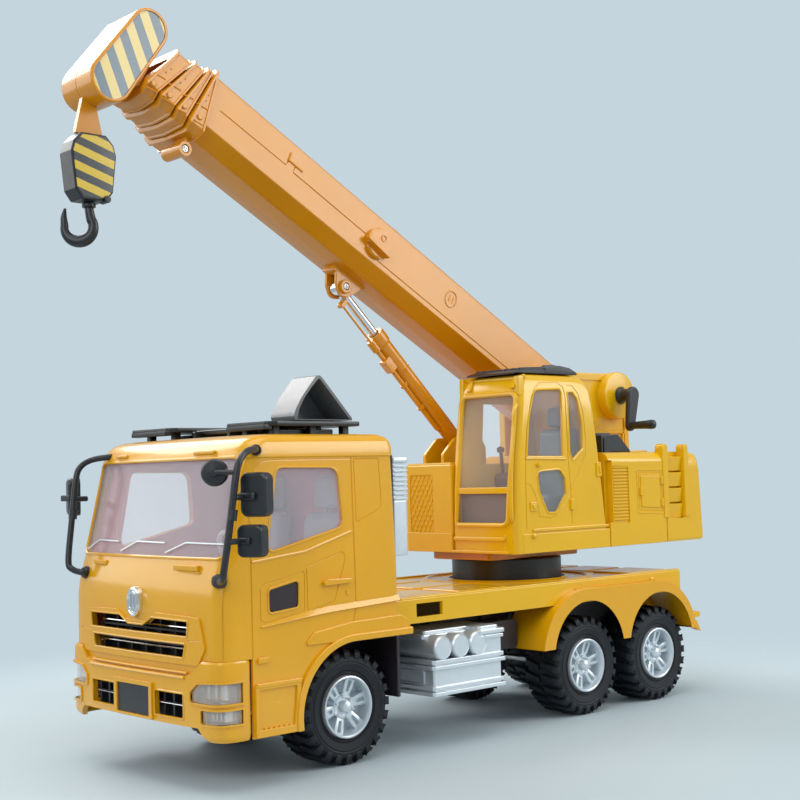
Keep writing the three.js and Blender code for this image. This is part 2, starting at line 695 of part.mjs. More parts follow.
function boomHead() {
  const slot = 4;
  return cut(
    join(
      prism('Y', stadium(head.low, head.high, head.radius), [-head.halfWidth, head.halfWidth]),
      box([452 + gap, headAt], [-head.halfWidth, head.halfWidth], [-19, 19]),
    ),
    prism('Y', [[headAt - 9, -60], [headAt + 30, -60], [headAt + 30, 0], [headAt - 9, -8]], [-slot, slot]),
    bar(2.4, sheaveAt.s, sheaveAt.n, [-head.halfWidth + 3, head.halfWidth - 3], 12),
  );
}
piece(boom, 'boom_head', boomHead(), orange);
piece(boom, 'sheave', join(
  bar(sheaveRadius, sheaveAt.s, sheaveAt.n, [-3.4, 3.4], 20),
  bar(2, sheaveAt.s, sheaveAt.n, [-head.halfWidth + 3.4, head.halfWidth - 3.4], 12),
), black);

// ---------------------------------------------------------------- lift cylinder
const pinX = boomPivot.x + liftTop.along * Math.cos(boomRise) - liftTop.below * Math.sin(boomRise);
const pinZ = boomPivot.z + liftTop.along * Math.sin(boomRise) + liftTop.below * Math.cos(boomRise);
const liftLength = Math.hypot(pinX - liftFoot.x, pinZ - liftFoot.z);
const lift = new THREE.Group();
lift.position.set(liftFoot.x, boomPivot.y, liftFoot.z);
lift.rotation.y = -Math.atan2(pinZ - liftFoot.z, pinX - liftFoot.x);
upper.add(lift);

function rod(radius, [from, to], sides = 20) {
  const geometry = new THREE.CylinderGeometry(radius, radius, to - from, sides);
  return solid(geometry.rotateZ(Math.PI / 2).translate((from + to) / 2, 0, 0));
}
const barrelLength = 124;
piece(lift, 'cylinder_barrel', cut(
  join(rod(6.4, [0, barrelLength]), rod(7.6, [barrelLength - 8, barrelLength]), bar(6, 0, 0, [-5, 5])),
  rod(3.9, [18, barrelLength + 1]),
), orange);
piece(lift, 'piston_rod', join(
  rod(3.3, [barrelLength - 42, liftLength - 3], 16),
  bar(5, liftLength, 0, [-3.6, 3.6]),
), chrome);

// ---------------------------------------------------------------- hoist line, block and hook
const sheaveX = boomPivot.x + sheaveAt.s * Math.cos(boomRise) - sheaveAt.n * Math.sin(boomRise);
const sheaveZ = boomPivot.z + sheaveAt.s * Math.sin(boomRise) + sheaveAt.n * Math.cos(boomRise);
const line = {
  x: sheaveX + sheaveRadius + cordRadius + gap, y: boomPivot.y, top: sheaveZ, bottom: sheaveZ - cordDrop,
};
const hoist = new THREE.Group();
hoist.position.set(line.x, line.y, 0);
upper.add(hoist);
piece(hoist, 'hoist_cord', post(cordRadius, 0, 0, [line.bottom, line.top], 8), black);

const block = { halfWidth: 15.6, halfDepth: 7.5, top: line.bottom - gap, height: 41 };
const blockHalf = [[8, 0], [13.5, 5], [block.halfWidth, 11], [13, block.height - 6], [8, block.height]];
const blockOutline = [
  ...blockHalf.map(([x, drop]) => [x, block.top - drop]),
  ...blockHalf.toReversed().map(([x, drop]) => [-x, block.top - drop]),
];
piece(hoist, 'hook_block', prism('Y', blockOutline, [-block.halfDepth, block.halfDepth]), black);

// The bowl of the hook hangs to one side of its shank, and the hook faces along X.
function hook() {
  const eyeZ = block.top - block.height - gap;
  const [middle, centre] = [-6.5, eyeZ - 14.6];
  const [outer, inner] = [12.3, 6.8];
  const degrees = THREE.MathUtils.degToRad;
  const bend = new THREE.Shape();
  bend.moveTo(-3, eyeZ);
  bend.lineTo(3, eyeZ);
  bend.absarc(middle, centre, outer, degrees(40), degrees(-190), true);
  bend.lineTo(middle - 8.5, centre + 13);
  bend.absarc(middle, centre, inner, degrees(-200), degrees(50), false);
  bend.closePath();
  return prism('Y', bend, [-3.5, 3.5]).rotate([0, 0, 138]);
}
piece(hoist, 'hook', hook(), black);

export default object;
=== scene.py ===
"""The looks of the toy crane truck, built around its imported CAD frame. Metres, +X front, +Z up."""
import json
import math

import bmesh
import bpy
from mathutils import Matrix, Vector

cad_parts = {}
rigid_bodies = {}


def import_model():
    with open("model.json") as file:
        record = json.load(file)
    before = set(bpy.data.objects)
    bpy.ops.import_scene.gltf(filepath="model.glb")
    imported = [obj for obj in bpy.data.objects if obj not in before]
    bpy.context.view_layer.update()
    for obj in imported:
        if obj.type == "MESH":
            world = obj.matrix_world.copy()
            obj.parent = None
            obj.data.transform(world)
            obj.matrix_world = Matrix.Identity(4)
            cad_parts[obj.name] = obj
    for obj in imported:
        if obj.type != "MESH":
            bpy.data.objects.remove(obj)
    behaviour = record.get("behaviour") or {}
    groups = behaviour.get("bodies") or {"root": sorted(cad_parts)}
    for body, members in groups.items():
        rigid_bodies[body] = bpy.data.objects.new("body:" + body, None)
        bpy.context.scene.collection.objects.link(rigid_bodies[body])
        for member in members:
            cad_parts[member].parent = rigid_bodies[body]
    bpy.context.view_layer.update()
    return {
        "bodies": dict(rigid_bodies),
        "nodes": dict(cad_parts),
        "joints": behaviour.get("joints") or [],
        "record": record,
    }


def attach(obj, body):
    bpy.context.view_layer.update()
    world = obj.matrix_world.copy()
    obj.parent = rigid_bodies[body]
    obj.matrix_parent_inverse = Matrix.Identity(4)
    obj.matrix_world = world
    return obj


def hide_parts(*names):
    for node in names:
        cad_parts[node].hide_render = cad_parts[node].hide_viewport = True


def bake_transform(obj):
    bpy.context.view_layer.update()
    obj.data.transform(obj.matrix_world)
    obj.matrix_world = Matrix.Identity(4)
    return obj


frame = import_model()
MM = 0.001
NODES = frame["nodes"]

# ---------------------------------------------------------------- camera, light and floor
CAMERA_AT = Vector((0.6602, 0.7115, 0.1742))
CAMERA_YAW, CAMERA_PITCH, CAMERA_ROLL = -2.3092, 0.055, -0.027
CAMERA_LENS = 61.5
BACKDROP = (0.555, 0.665, 0.725)
ROOM_LIGHT = 0.74


def add_camera():
    data = bpy.data.cameras.new("camera")
    data.lens = CAMERA_LENS
    data.sensor_width = 36.0
    camera = bpy.data.objects.new("camera", data)
    bpy.context.collection.objects.link(camera)
    cos_pitch = math.cos(CAMERA_PITCH)
    ahead = Vector((cos_pitch * math.cos(CAMERA_YAW), cos_pitch * math.sin(CAMERA_YAW),
                    math.sin(CAMERA_PITCH)))
    right = ahead.cross(Vector((0, 0, 1))).normalized()
    up = right.cross(ahead)
    rolled_right = math.cos(CAMERA_ROLL) * right + math.sin(CAMERA_ROLL) * up
    rolled_up = math.cos(CAMERA_ROLL) * up - math.sin(CAMERA_ROLL) * right
    axes = Matrix((rolled_right, rolled_up, -ahead)).transposed()
    camera.matrix_world = Matrix.Translation(CAMERA_AT) @ axes.to_4x4()
    bpy.context.scene.camera = camera
    bpy.context.scene.view_settings.view_transform = "Standard"


def add_softbox(name, at, size, power, aim=(0, 0, 0.2)):
    data = bpy.data.lights.new(name, "AREA")
    data.shape = "RECTANGLE"
    data.size, data.size_y = size
    data.energy = power
    data.color = (1.0, 0.98, 0.95)
    light = bpy.data.objects.new(name, data)
    light.location = at
    light.rotation_euler = (Vector(aim) - Vector(at)).to_track_quat("-Z", "Y").to_euler()
    bpy.context.collection.objects.link(light)


def add_world():
    world = bpy.data.worlds.new("studio")
    world.use_nodes = True
    tree = world.node_tree
    back = tree.nodes["Background"]
    back.inputs["Color"].default_value = (*BACKDROP, 1)
    rays = tree.nodes.new("ShaderNodeLightPath")
    strength = tree.nodes.new("ShaderNodeMapRange")
    strength.inputs["To Min"].default_value = ROOM_LIGHT
    strength.inputs["To Max"].default_value = 1.0
    tree.links.new(rays.outputs["Is Camera Ray"], strength.inputs["Value"])
    tree.links.new(strength.outputs["Result"], back.inputs["Strength"])
    bpy.context.scene.world = world


def add_floor():
    """A wide pale floor that fades with distance into the backdrop."""
    mesh = bpy.data.meshes.new("floor")
    half = 3.0
    mesh.from_pydata([(-half, -half, 0), (half, -half, 0), (half, half, 0), (-half, half, 0)], [],
                     [(0, 1, 2, 3)])
    floor = bpy.data.objects.new("floor", mesh)
    bpy.context.collection.objects.link(floor)
    material = bpy.data.materials.new("floor")
    material.use_nodes = True
    tree = material.node_tree
    shader = tree.nodes["Principled BSDF"]
    shader.inputs["Base Color"].default_value = (0.50, 0.575, 0.61, 1)
    shader.inputs["Roughness"].default_value = 0.6
    coordinates = tree.nodes.new("ShaderNodeTexCoord")
    length = tree.nodes.new("ShaderNodeVectorMath")
    length.operation = "LENGTH"
    tree.links.new(coordinates.outputs["Object"], length.inputs[0])
    fade = tree.nodes.new("ShaderNodeMapRange")
    fade.interpolation_type = "SMOOTHSTEP"
    fade.inputs["From Min"].default_value = 0.34
    fade.inputs["From Max"].default_value = 0.62
    fade.inputs["To Min"].default_value = 1.0
    fade.inputs["To Max"].default_value = 0.0
    tree.links.new(length.outputs["Value"], fade.inputs["Value"])
    tree.links.new(fade.outputs["Result"], shader.inputs["Alpha"])
    mesh.materials.append(material)


# ---------------------------------------------------------------- materials
SLOTS = {}


def noise(tree, scale, detail=3.0, stretch=None):
    """Noise over the piece's own coordinates. scale is in cells per metre."""
    coordinates = tree.nodes.new("ShaderNodeTexCoord")
    texture = tree.nodes.new("ShaderNodeTexNoise")
    texture.inputs["Scale"].default_value = scale
    texture.inputs["Detail"].default_value = detail
    source = coordinates.outputs["Object"]
    if stretch:
        mapping = tree.nodes.new("ShaderNodeMapping")
        mapping.inputs["Scale"].default_value = stretch
        tree.links.new(source, mapping.inputs["Vector"])
        source = mapping.outputs["Vector"]
    tree.links.new(source, texture.inputs["Vector"])
    return texture.outputs["Fac"]


def mapped(tree, value, low, high):
    node = tree.nodes.new("ShaderNodeMapRange")
    node.inputs["From Min"].default_value = 0.3
    node.inputs["From Max"].default_value = 0.7
    node.inputs["To Min"].default_value = low
    node.inputs["To Max"].default_value = high
    tree.links.new(value, node.inputs["Value"])
    return node.outputs["Result"]


def blended(tree, value, first, second):
    node = tree.nodes.new("ShaderNodeMix")
    node.data_type = "RGBA"
    node.inputs["A"].default_value = (*first, 1)
    node.inputs["B"].default_value = (*second, 1)
    tree.links.new(value, node.inputs["Factor"])
    return node.outputs["Result"]


def bumped(tree, value, strength, distance, below=None):
    node = tree.nodes.new("ShaderNodeBump")
    node.inputs["Strength"].default_value = strength
    node.inputs["Distance"].default_value = distance
    tree.links.new(value, node.inputs["Height"])
    if below:
        tree.links.new(below, node.inputs["Normal"])
    return node.outputs["Normal"]


def finish(name, slot, color, roughness=0.3, coat=0.0, metallic=0.0, shift=0.025, spread=0.06,
           grain=0.04, specular=0.5, alpha=None, streaks=None):
    """A plastic or metal finish: its colour drifts slowly, its gloss is uneven and its skin is grained."""
    material = bpy.data.materials.new(name)
    SLOTS[material.name] = slot
    material.use_nodes = True
    tree = material.node_tree
    shader = tree.nodes["Principled BSDF"]
    darker = tuple(c * (1 - shift) for c in color)
    lighter = tuple(min(1.0, c * (1 + shift)) for c in color)
    drift = noise(tree, 26.0, 4.0, streaks)
    tree.links.new(blended(tree, mapped(tree, drift, 0.0, 1.0), darker, lighter),
                   shader.inputs["Base Color"])
    gloss = mapped(tree, noise(tree, 160.0, 3.0, streaks), roughness - spread / 2, roughness + spread / 2)
    tree.links.new(gloss, shader.inputs["Roughness"])
    waves = bumped(tree, noise(tree, 45.0, 2.0), 0.06, 0.002)
    tree.links.new(bumped(tree, noise(tree, 1500.0, 2.0), grain, 0.0002, waves), shader.inputs["Normal"])
    shader.inputs["Metallic"].default_value = metallic
    shader.inputs["Coat Weight"].default_value = coat
    shader.inputs["Coat Roughness"].default_value = 0.08
    shader.inputs["Specular IOR Level"].default_value = specular
    if alpha is not None:
        shader.inputs["Alpha"].default_value = alpha
    return material


# One yellow plastic in two copies: the truck's darker, more orange yellow is painted shade, and the crane's
# lighter, yellower copy below is painted light.
YELLOW = finish("yellow", "yellow_plastic", (0.80, 0.38, 0.003), roughness=0.20, coat=0.4)
YELLOW_WITH_PAINTED_LIGHT = finish("yellow_with_painted_light", "yellow_plastic", (0.82, 0.45, 0.002), roughness=0.20, coat=0.3)
ORANGE = finish("orange", "orange_plastic", (0.70, 0.265, 0.002), roughness=0.24, coat=0.3)
BLACK = finish("black", "black_plastic", (0.012, 0.013, 0.016), roughness=0.38, coat=0.15, shift=0.25)
SATIN_BLACK = finish("satin_black", "black_plastic", (0.022, 0.019, 0.024), roughness=0.50, shift=0.25,
                     grain=0.2)
GREY = finish("grey", "grey_plastic", (0.16, 0.16, 0.17), roughness=0.40, coat=0.1)
PALE_GREY = finish("pale_grey", "grey_plastic", (0.13, 0.13, 0.135), roughness=0.30, coat=0.3)
BLUE_GREY = finish("blue_grey", "grey_plastic", (0.20, 0.25, 0.30), roughness=0.40, coat=0.1)
BROWN = finish("dark_red", "interior_plastic", (0.10, 0.03, 0.02), roughness=0.42)
RED = finish("interior_red", "interior_plastic", (0.78, 0.13, 0.10), roughness=0.45)
SEAT_GREY = finish("seat_grey", "grey_plastic", (0.56, 0.60, 0.66), roughness=0.42)
SILVER = finish("silver", "silver_plastic", (0.70, 0.75, 0.79), roughness=0.33, metallic=0.6, shift=0.05)
CHROME = finish("chrome", "chrome_plate", (0.80, 0.80, 0.82), roughness=0.12, metallic=1.0, spread=0.05,
                grain=0.03)
STEEL = finish("steel", "steel", (0.42, 0.42, 0.43), roughness=0.30, metallic=1.0, grain=0.05)
RUBBER = finish("rubber", "tyre", (0.012, 0.014, 0.018), roughness=0.52, shift=0.3, grain=0.35, specular=0.3)
CLEAR = finish("clear", "clear_plastic", (0.94, 0.92, 1.0), roughness=0.08, coat=0.5, alpha=0.20, grain=0.01)
CRANE_CLEAR = finish("crane_clear", "clear_plastic", (0.90, 0.92, 0.98), roughness=0.08, coat=0.4,
                     alpha=0.10, grain=0.01)
SMOKE = finish("smoke", "clear_plastic", (0.05, 0.035, 0.035), roughness=0.12, coat=0.4, alpha=0.75,
               grain=0.01)
LAMP = finish("lamp", "clear_plastic", (0.85, 0.80, 0.76), roughness=0.10, coat=0.4, alpha=0.30, grain=0.05)
CORD = finish("cord", "cord", (0.03, 0.03, 0.03), roughness=0.7, streaks=(1, 1, 6))

PLAIN = (YELLOW, ORANGE, BLACK, GREY, RED, SILVER, CLEAR, CHROME, STEEL, RUBBER, CORD)
NODE_FINISH = {SLOTS[material.name]: material for material in PLAIN}


def dress_frame():
    """Each shown CAD node takes the finish of its slot, and its hard edges are rounded."""
    for part in frame["record"]["subparts"]:
        node = NODES[part["node"]]
        node.data.materials.clear()
        node.data.materials.append(NODE_FINISH[part["material_slot"]])
        bevel = node.modifiers.new("edges", "BEVEL")
        bevel.width = 0.0006
        bevel.segments = 2
        bevel.limit_method = "ANGLE"
        bevel.angle_limit = math.radians(40)


add_camera()
add_world()
add_softbox("overhead", (0.15, 0.3, 1.7), (1.5, 1.5), 13, aim=(0, 0, 0.1))
add_softbox("left_wall", (-1.3, 1.45, 0.98), (1.2, 1.2), 19)
add_softbox("far_wall", (0.25, -1.5, 1.45), (1.3, 0.9), 18)
add_softbox("front", (1.5, 0.6, 0.9), (0.9, 0.9), 7)
add_softbox("right_wall", (1.25, -1.45, 0.85), (1.2, 1.1), 7)
add_floor()
dress_frame()

# ---------------------------------------------------------------- shapes, in millimetres until placed
AXES = {"X": lambda u, v, w: (w, u, v), "Y": lambda u, v, w: (u, w, v), "Z": lambda u, v, w: (u, v, w)}


def shape(points, faces):
    """A closed body with its faces turned outward."""
    mesh = bpy.data.meshes.new("shape")
    mesh.from_pydata([tuple(p) for p in points], [], faces)
    work = bmesh.new()
    work.from_mesh(mesh)
    bmesh.ops.recalc_face_normals(work, faces=work.faces)
    work.to_mesh(mesh)
    work.free()
    return mesh


def rounded(corners, radius=0.0, steps=4):
    """An outline whose corners are arcs. A corner's third number is its own radius."""
    result = []
    for i, corner in enumerate(corners):
        here = Vector(corner[:2])
        before = Vector(corners[i - 1][:2]) - here
        after = Vector(corners[(i + 1) % len(corners)][:2]) - here
        wanted = corner[2] if len(corner) > 2 else radius
        half = before.angle(after) / 2
        if not wanted or half > 1.55:
            result.append(tuple(here))
            continue
        reach = min(wanted / math.tan(half), 0.49 * before.length, 0.49 * after.length)
        arc = reach * math.tan(half)
        centre = here + (before.normalized() + after.normalized()).normalized() * (arc / math.sin(half))
        start = here + before.normalized() * reach - centre
        end = here + after.normalized() * reach - centre
        turn = start.angle_signed(end)
        for k in range(steps + 1):
            a = -turn * k / steps
            result.append((centre.x + start.x * math.cos(a) - start.y * math.sin(a),
                           centre.y + start.x * math.sin(a) + start.y * math.cos(a)))
    return result


def arc(u, v, radius, first, last, steps, tall=1.0):
    """Points along an arc about (u, v), from one angle to another in degrees."""
    angles = [math.radians(first + (last - first) * k / steps) for k in range(steps + 1)]
    return [(u + radius * math.cos(a), v + radius * tall * math.sin(a)) for a in angles]


def prism(axis, outline, low, high):
    """An outline pushed along an axis. X takes (y, z), Y takes (x, z) and Z takes (x, y)."""
    place = AXES[axis]
    count = len(outline)
    points = [place(u, v, low) for u, v, *_ in outline] + [place(u, v, high) for u, v, *_ in outline]
    faces = [tuple(range(count)), tuple(range(count, 2 * count))]
    faces += [(i, (i + 1) % count, count + (i + 1) % count, count + i) for i in range(count)]
    return shape(points, faces)


def block(x, y, z):
    return prism("Z", [(x[0], y[0]), (x[1], y[0]), (x[1], y[1]), (x[0], y[1])], z[0], z[1])


def loft(rings, closed=False):
    """Rings of points joined one to the next, with flat ends unless it closes on itself."""
    count = len(rings[0])
    points = [p for ring in rings for p in ring]
    faces = []
    for level in range(len(rings) if closed else len(rings) - 1):
        a, b = level * count, (level + 1) % len(rings) * count
        faces += [(a + i, a + (i + 1) % count, b + (i + 1) % count, b + i) for i in range(count)]
    if not closed:
        faces += [tuple(range(count)), tuple(range(len(points) - count, len(points)))]
    return shape(points, faces)


def lathe(axis, centre, section, steps=48):
    """A closed section of (radius, along) turned about an axis through centre."""
    place = AXES[axis]
    cu, cv, cw = {"X": (1, 2, 0), "Y": (0, 2, 1), "Z": (0, 1, 2)}[axis]
    rings = []
    for k in range(steps):
        a = 2 * math.pi * k / steps
        rings.append([place(centre[cu] + r * math.cos(a), centre[cv] + r * math.sin(a), centre[cw] + w)
                      for r, w in section])
    return loft(rings, closed=True)


def rod(start, end, radius, sides=20):
    start, end = Vector(start), Vector(end)
    turn = (end - start).to_track_quat("Z", "Y").to_matrix()
    spokes = [turn @ Vector((radius * math.cos(a), radius * math.sin(a), 0))
              for a in (2 * math.pi * k / sides for k in range(sides))]
    return loft([[at + spoke for spoke in spokes] for at in (start, end)])


def smooth_path(points, per_span=6):
    """A Catmull-Rom curve through points."""
    points = [Vector(p) for p in points]
    last = len(points) - 1
    result = []
    for i in range(last):
        a, b, c, d = (points[min(max(i + k, 0), last)] for k in (-1, 0, 1, 2))
        for k in range(per_span):
            t = k / per_span
            result.append(0.5 * ((2 * b) + (c - a) * t + (2 * a - 5 * b + 4 * c - d) * t * t
                                 + (3 * b - a - 3 * c + d) * t ** 3))
    return result + [points[-1]]


def tube(points, radius, sides=10, closed=False):
    """A round bar along points."""
    points = [Vector(p) for p in points]
    n = len(points)
    rings = []
    across = None
    for i, here in enumerate(points):
        before = points[(i - 1) % n] if closed or i else here
        after = points[(i + 1) % n] if closed or i < n - 1 else here
        ahead = (after - before).normalized()
        if across is None:
            across = ahead.orthogonal().normalized()
        across = (across - ahead * across.dot(ahead)).normalized()
        other = ahead.cross(across)
        rings.append([here + radius * (across * math.cos(a) + other * math.sin(a))
                      for a in (2 * math.pi * k / sides for k in range(sides))])
    return loft(rings, closed=closed)


def merged(*meshes):
    """Several bodies in one mesh, each still closed."""
    work = bmesh.new()
    for mesh in meshes:
        work.from_mesh(mesh)
    result = bpy.data.meshes.new("shape")
    work.to_mesh(result)
    work.free()
    return result


def moved(mesh, matrix):
    result = mesh.copy()
    result.transform(matrix)
    if matrix.determinant() < 0:
        result.flip_normals()
    return result


def shifted(mesh, x=0, y=0, z=0):
    return moved(mesh, Matrix.Translation((x, y, z)))


def mirrored(mesh):
    return moved(mesh, Matrix.Diagonal((1, -1, 1, 1)))


def both(mesh):
    """The mesh and its mirror image across the middle."""
    return merged(mesh, mirrored(mesh))


def turned(mesh, x, y, degrees):
    """The mesh turned about an upright line."""
    spin = Matrix.Rotation(math.radians(degrees), 4, "Z")
    return moved(mesh, Matrix.Translation((x, y, 0)) @ spin @ Matrix.Translation((-x, -y, 0)))


def modified(mesh, kind, **settings):
    """The mesh after one modifier."""
    work = bpy.data.objects.new("work", mesh)
    bpy.context.collection.objects.link(work)
    modifier = work.modifiers.new("work", kind)
    for name, value in settings.items():
        setattr(modifier, name, value)
    depsgraph = bpy.context.evaluated_depsgraph_get()
    result = bpy.data.meshes.new_from_object(work.evaluated_get(depsgraph))
    bpy.data.objects.remove(work)
    return result


def bevelled(mesh, width, segments=2, angle=30):
    return modified(mesh, "BEVEL", width=width, segments=segments, limit_method="ANGLE",
                    angle_limit=math.radians(angle), use_clamp_overlap=True)


def beam(x, y, z, edge, segments=2, angle=30):
    """A block with softened edges."""
    return bevelled(block(x, y, z), edge, segments, angle)


def slab(axis, corners, low, high, edge, segments=2, angle=30):
    """A rounded outline pushed along an axis, with softened edges."""
    return bevelled(prism(axis, rounded(corners), low, high), edge, segments, angle)


def peg(start, end, radius, sides, edge, segments=2, angle=30):
    """A round bar with softened ends."""
    return bevelled(rod(start, end, radius, sides), edge, segments, angle)


def combined(mesh, other, operation):
    tool = bpy.data.objects.new("tool", other)
    bpy.context.collection.objects.link(tool)
    result = modified(mesh, "BOOLEAN", operation=operation, object=tool, solver="EXACT", use_self=True)
    bpy.data.objects.remove(tool)
    return result


def cut(mesh, *cutters):
    return combined(mesh, merged(*cutters), "DIFFERENCE")


def common(mesh, other):
    return combined(mesh, other, "INTERSECT")


def piece(name, body, material, mesh, replaces=(), sharp=34, weighted=True):
    """Places one finished piece in metres, smooth but for its sharp edges, riding its body, if any."""
    made = mesh.copy()
    made.name = name
    made.transform(Matrix.Scale(MM, 4))
    work = bmesh.new()
    work.from_mesh(made)
    bmesh.ops.remove_doubles(work, verts=work.verts, dist=1e-6)
    bmesh.ops.dissolve_degenerate(work, edges=work.edges, dist=1e-6)
    work.to_mesh(made)
    work.free()
    made.shade_smooth()
    made.set_sharp_from_angle(angle=math.radians(sharp))
    made.materials.clear()
    made.materials.append(material)
    item = bpy.data.objects.new(name, made)
    bpy.context.collection.objects.link(item)
    if weighted:
        normals = item.modifiers.new("even_shading", "WEIGHTED_NORMAL")
        normals.keep_sharp = True
        normals.weight = 60
    if body:
        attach(item, body)
    if replaces:
        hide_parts(*replaces)
    return item


# ---------------------------------------------------------------- wheels
AXLES = {"front": 124, "middle": -99, "rear": -182}
WHEEL_Z, WHEEL_Y = 35, 53.6
TYRE_RADIUS, RIM_RADIUS = 35.0, 19.0
LUGS = 24


def tyre():
    """One tyre about the Y axis at the origin: a ribbed carcass with lugs that wrap over each shoulder."""
    base = TYRE_RADIUS - 2.6
    side = [(RIM_RADIUS + 0.1, 11.5), (RIM_RADIUS + 0.5, 13.4), (RIM_RADIUS + 1.6, 14.2),
            (RIM_RADIUS + 2.4, 13.6), (RIM_RADIUS + 3.2, 14.3), (RIM_RADIUS + 7.0, 14.9),
            (RIM_RADIUS + 7.8, 14.5), (RIM_RADIUS + 8.6, 14.8), (base - 2.4, 14.3), (base - 0.4, 12.6),
            (base, 10.5)]
    section = side + [(base + 0.1, 0)] + [(r, -w) for r, w in reversed(side)]
    carcass = lathe("Y", (0, 0, 0), section, 72)
    lugs = []
    for k in range(LUGS):
        for end in (1, -1):
            middle = 2 * math.pi * (k + (0.5 if end < 0 else 0)) / LUGS
            rings = []
            for r, w, wide in ((base - 4.6, 13.9, 1.7), (base - 3.0, 15.0, 2.3),
                               (TYRE_RADIUS - 2.2, 14.7, 2.5), (TYRE_RADIUS - 0.5, 13.2, 2.5),
                               (TYRE_RADIUS, 11.2, 2.4), (TYRE_RADIUS, 1.2, 1.9)):
                lean = (15 - w) / 15 * 0.11 * end
                ring = []
                for side_sign, depth in ((-1, 0), (1, 0), (1, 1), (-1, 1)):
                    a = middle + lean + side_sign * wide / TYRE_RADIUS
                    inner = base - 4.5 if w > 14.2 else base - 1.5
                    radius = inner if depth and w < 14.2 else r
                    along = (w - 4.5 if depth and w > 13.5 else w) * end
                    ring.append((radius * math.cos(a), along, radius * math.sin(a)))
                rings.append(ring)
            lugs.append(loft(rings))
    return merged(carcass, bevelled(merged(*lugs), 0.35, 1))


def rim():
    """One rim about the Y axis with its outer face at +Y: a deep dish, six split spokes and a hub cap."""
    lip = lathe("Y", (0, 0, 0), [(19.0, -12), (19.0, 14.6), (18.6, 15.4), (17.9, 15.6), (17.2, 15.1),
                                 (16.6, 13.2), (16.2, 5.5), (3.3, 4.2), (3.3, 1.5), (17.0, 1.5),
                                 (17.4, -12)], 60)
    dish = lathe("Y", (0, 0, 0), [(7.6, 3.5), (7.6, 10.2), (6.9, 11.2), (5.4, 11.2), (5.2, 10.0),
                                  (3.2, 10.0), (3.2, 3.5)], 48)
    cap = lathe("Y", (0, 0, 0), [(0.01, 4.4), (3.8, 4.4), (3.8, 13.0), (3.3, 14.2), (2.2, 14.9),
                                 (0.01, 15.1)], 32)
    spokes = []
    for k in range(6):
        turn = Matrix.Rotation(math.pi / 3 * k + 0.2, 4, "Y")
        outer = rounded([(5.5, -2.6), (13.5, -3.7), (17.6, -3.9), (17.6, 3.9), (13.5, 3.7), (5.5, 2.6)])
        arm = bevelled(loft([[(u, w + 0.13 * (u - 5.5), v) for u, v in outer] for w in (3.5, 10.0)]), 0.6, 2)
        slot = loft([[(u, w, v) for u, v in rounded([(9.0, -1.1), (16, -1.5), (16, 1.5), (9.0, 1.1)], 0.7)]
                     for w in (8.6, 14.0)])
        spokes.append(moved(cut(arm, slot), turn))
        nut = moved(peg((6.4, 9.5, 0), (6.4, 12.4, 0), 1.0, 6, 0.25, 1), Matrix.Rotation(0.52, 4, "Y"))
        spokes.append(moved(nut, turn))
    return merged(lip, dish, cap, *spokes)


def wheels():
    tyre_shape, rim_shape = tyre(), rim()
    for place, x in AXLES.items():
        for side, sign in (("left", 1), ("right", -1)):
            spot = Matrix.Translation((x, WHEEL_Y * sign, WHEEL_Z))
            if sign < 0:
                spot = spot @ Matrix.Rotation(math.pi, 4, "Z")
            body = f"{place}_wheels"
            piece(f"tyre_{place}_{side}_tread", body, RUBBER, moved(tyre_shape, spot),
                  (f"tyre_{place}_{side}",), sharp=28, weighted=False)
            piece(f"rim_{place}_{side}_spoked", body, SILVER, moved(rim_shape, spot),
                  (f"rim_{place}_{side}",), weighted=False)


# ---------------------------------------------------------------- truck cab
CAB_HALF = 82.0
FRONT_BOW = [(0, 0), (16, 0.12), (32, 0.5), (48, 1.15), (60, 1.9), (68, 2.6), (73, 3.1), (76.5, 4.0),
             (79.2, 5.8), (81.0, 8.4), (81.8, 11.4), (82, 15)]
REAR_CORNER = [(5.5, 82), (2.6, 81.4), (0.8, 79.8), (0, 77)]
# Height, front, rear and how far the side leans in.
CAB_LEVELS = [(26, 228.5, 91.5, 0), (60, 228.5, 91.5, 0), (98, 228.5, 91.5, 0), (106, 228.2, 91.5, 0),
              (114, 227.0, 91.5, 0), (122, 225.0, 91.5, 0.1), (131, 222.4, 91.7, 0.3),
              (150, 217.8, 92, 0.7), (170, 213.2, 92.4, 1.1), (186.2, 209.4, 92.8, 1.5),
              (186.8, 209.6, 92.4, 0.6), (191, 208.0, 92.6, 0.7), (195, 205.4, 93.2, 1.4),
              (198, 201.6, 95.0, 3.4), (199.8, 196.0, 98.5, 7.0), (200.4, 188.0, 104, 14)]


def between(levels, z, column):
    """One column of a list of levels, read at a height between them."""
    for low, high in zip(levels, levels[1:]):
        if z <= high[0]:
            t = max(0.0, (z - low[0]) / (high[0] - low[0]))
            return low[column] + t * (high[column] - low[column])
    return levels[-1][column]


def cab_front(y, z):
    """The cab's front surface."""
    y = abs(y) * CAB_HALF / (CAB_HALF - between(CAB_LEVELS, z, 3))
    for (y0, b0), (y1, b1) in zip(FRONT_BOW, FRONT_BOW[1:]):
        if y <= y1:
            return between(CAB_LEVELS, z, 1) - (b0 + (y - y0) / (y1 - y0) * (b1 - b0))
    return between(CAB_LEVELS, z, 1) - FRONT_BOW[-1][1]


def cab_side(z):
    return CAB_HALF - between(CAB_LEVELS, z, 3)


def cab_form(inset=0.0, levels=None, reach=0.0, side_reach=0.0):
    rings = []
    for z, front, back, lean in levels or CAB_LEVELS:
        scale = (CAB_HALF - lean - inset + side_reach) / CAB_HALF
        half = [(front + reach - bow - inset, y * scale) for y, bow in FRONT_BOW]
        half += [(back + inset + step, y * scale) for step, y in REAR_CORNER]
        rings.append([(x, y, z) for x, y in half] + [(x, -y, z) for x, y in reversed(half[1:])])
    return loft(rings)


def inner_levels(inset):
    return [(z - inset * (i / (len(CAB_LEVELS) - 1)), *rest) for i, (z, *rest) in enumerate(CAB_LEVELS)]


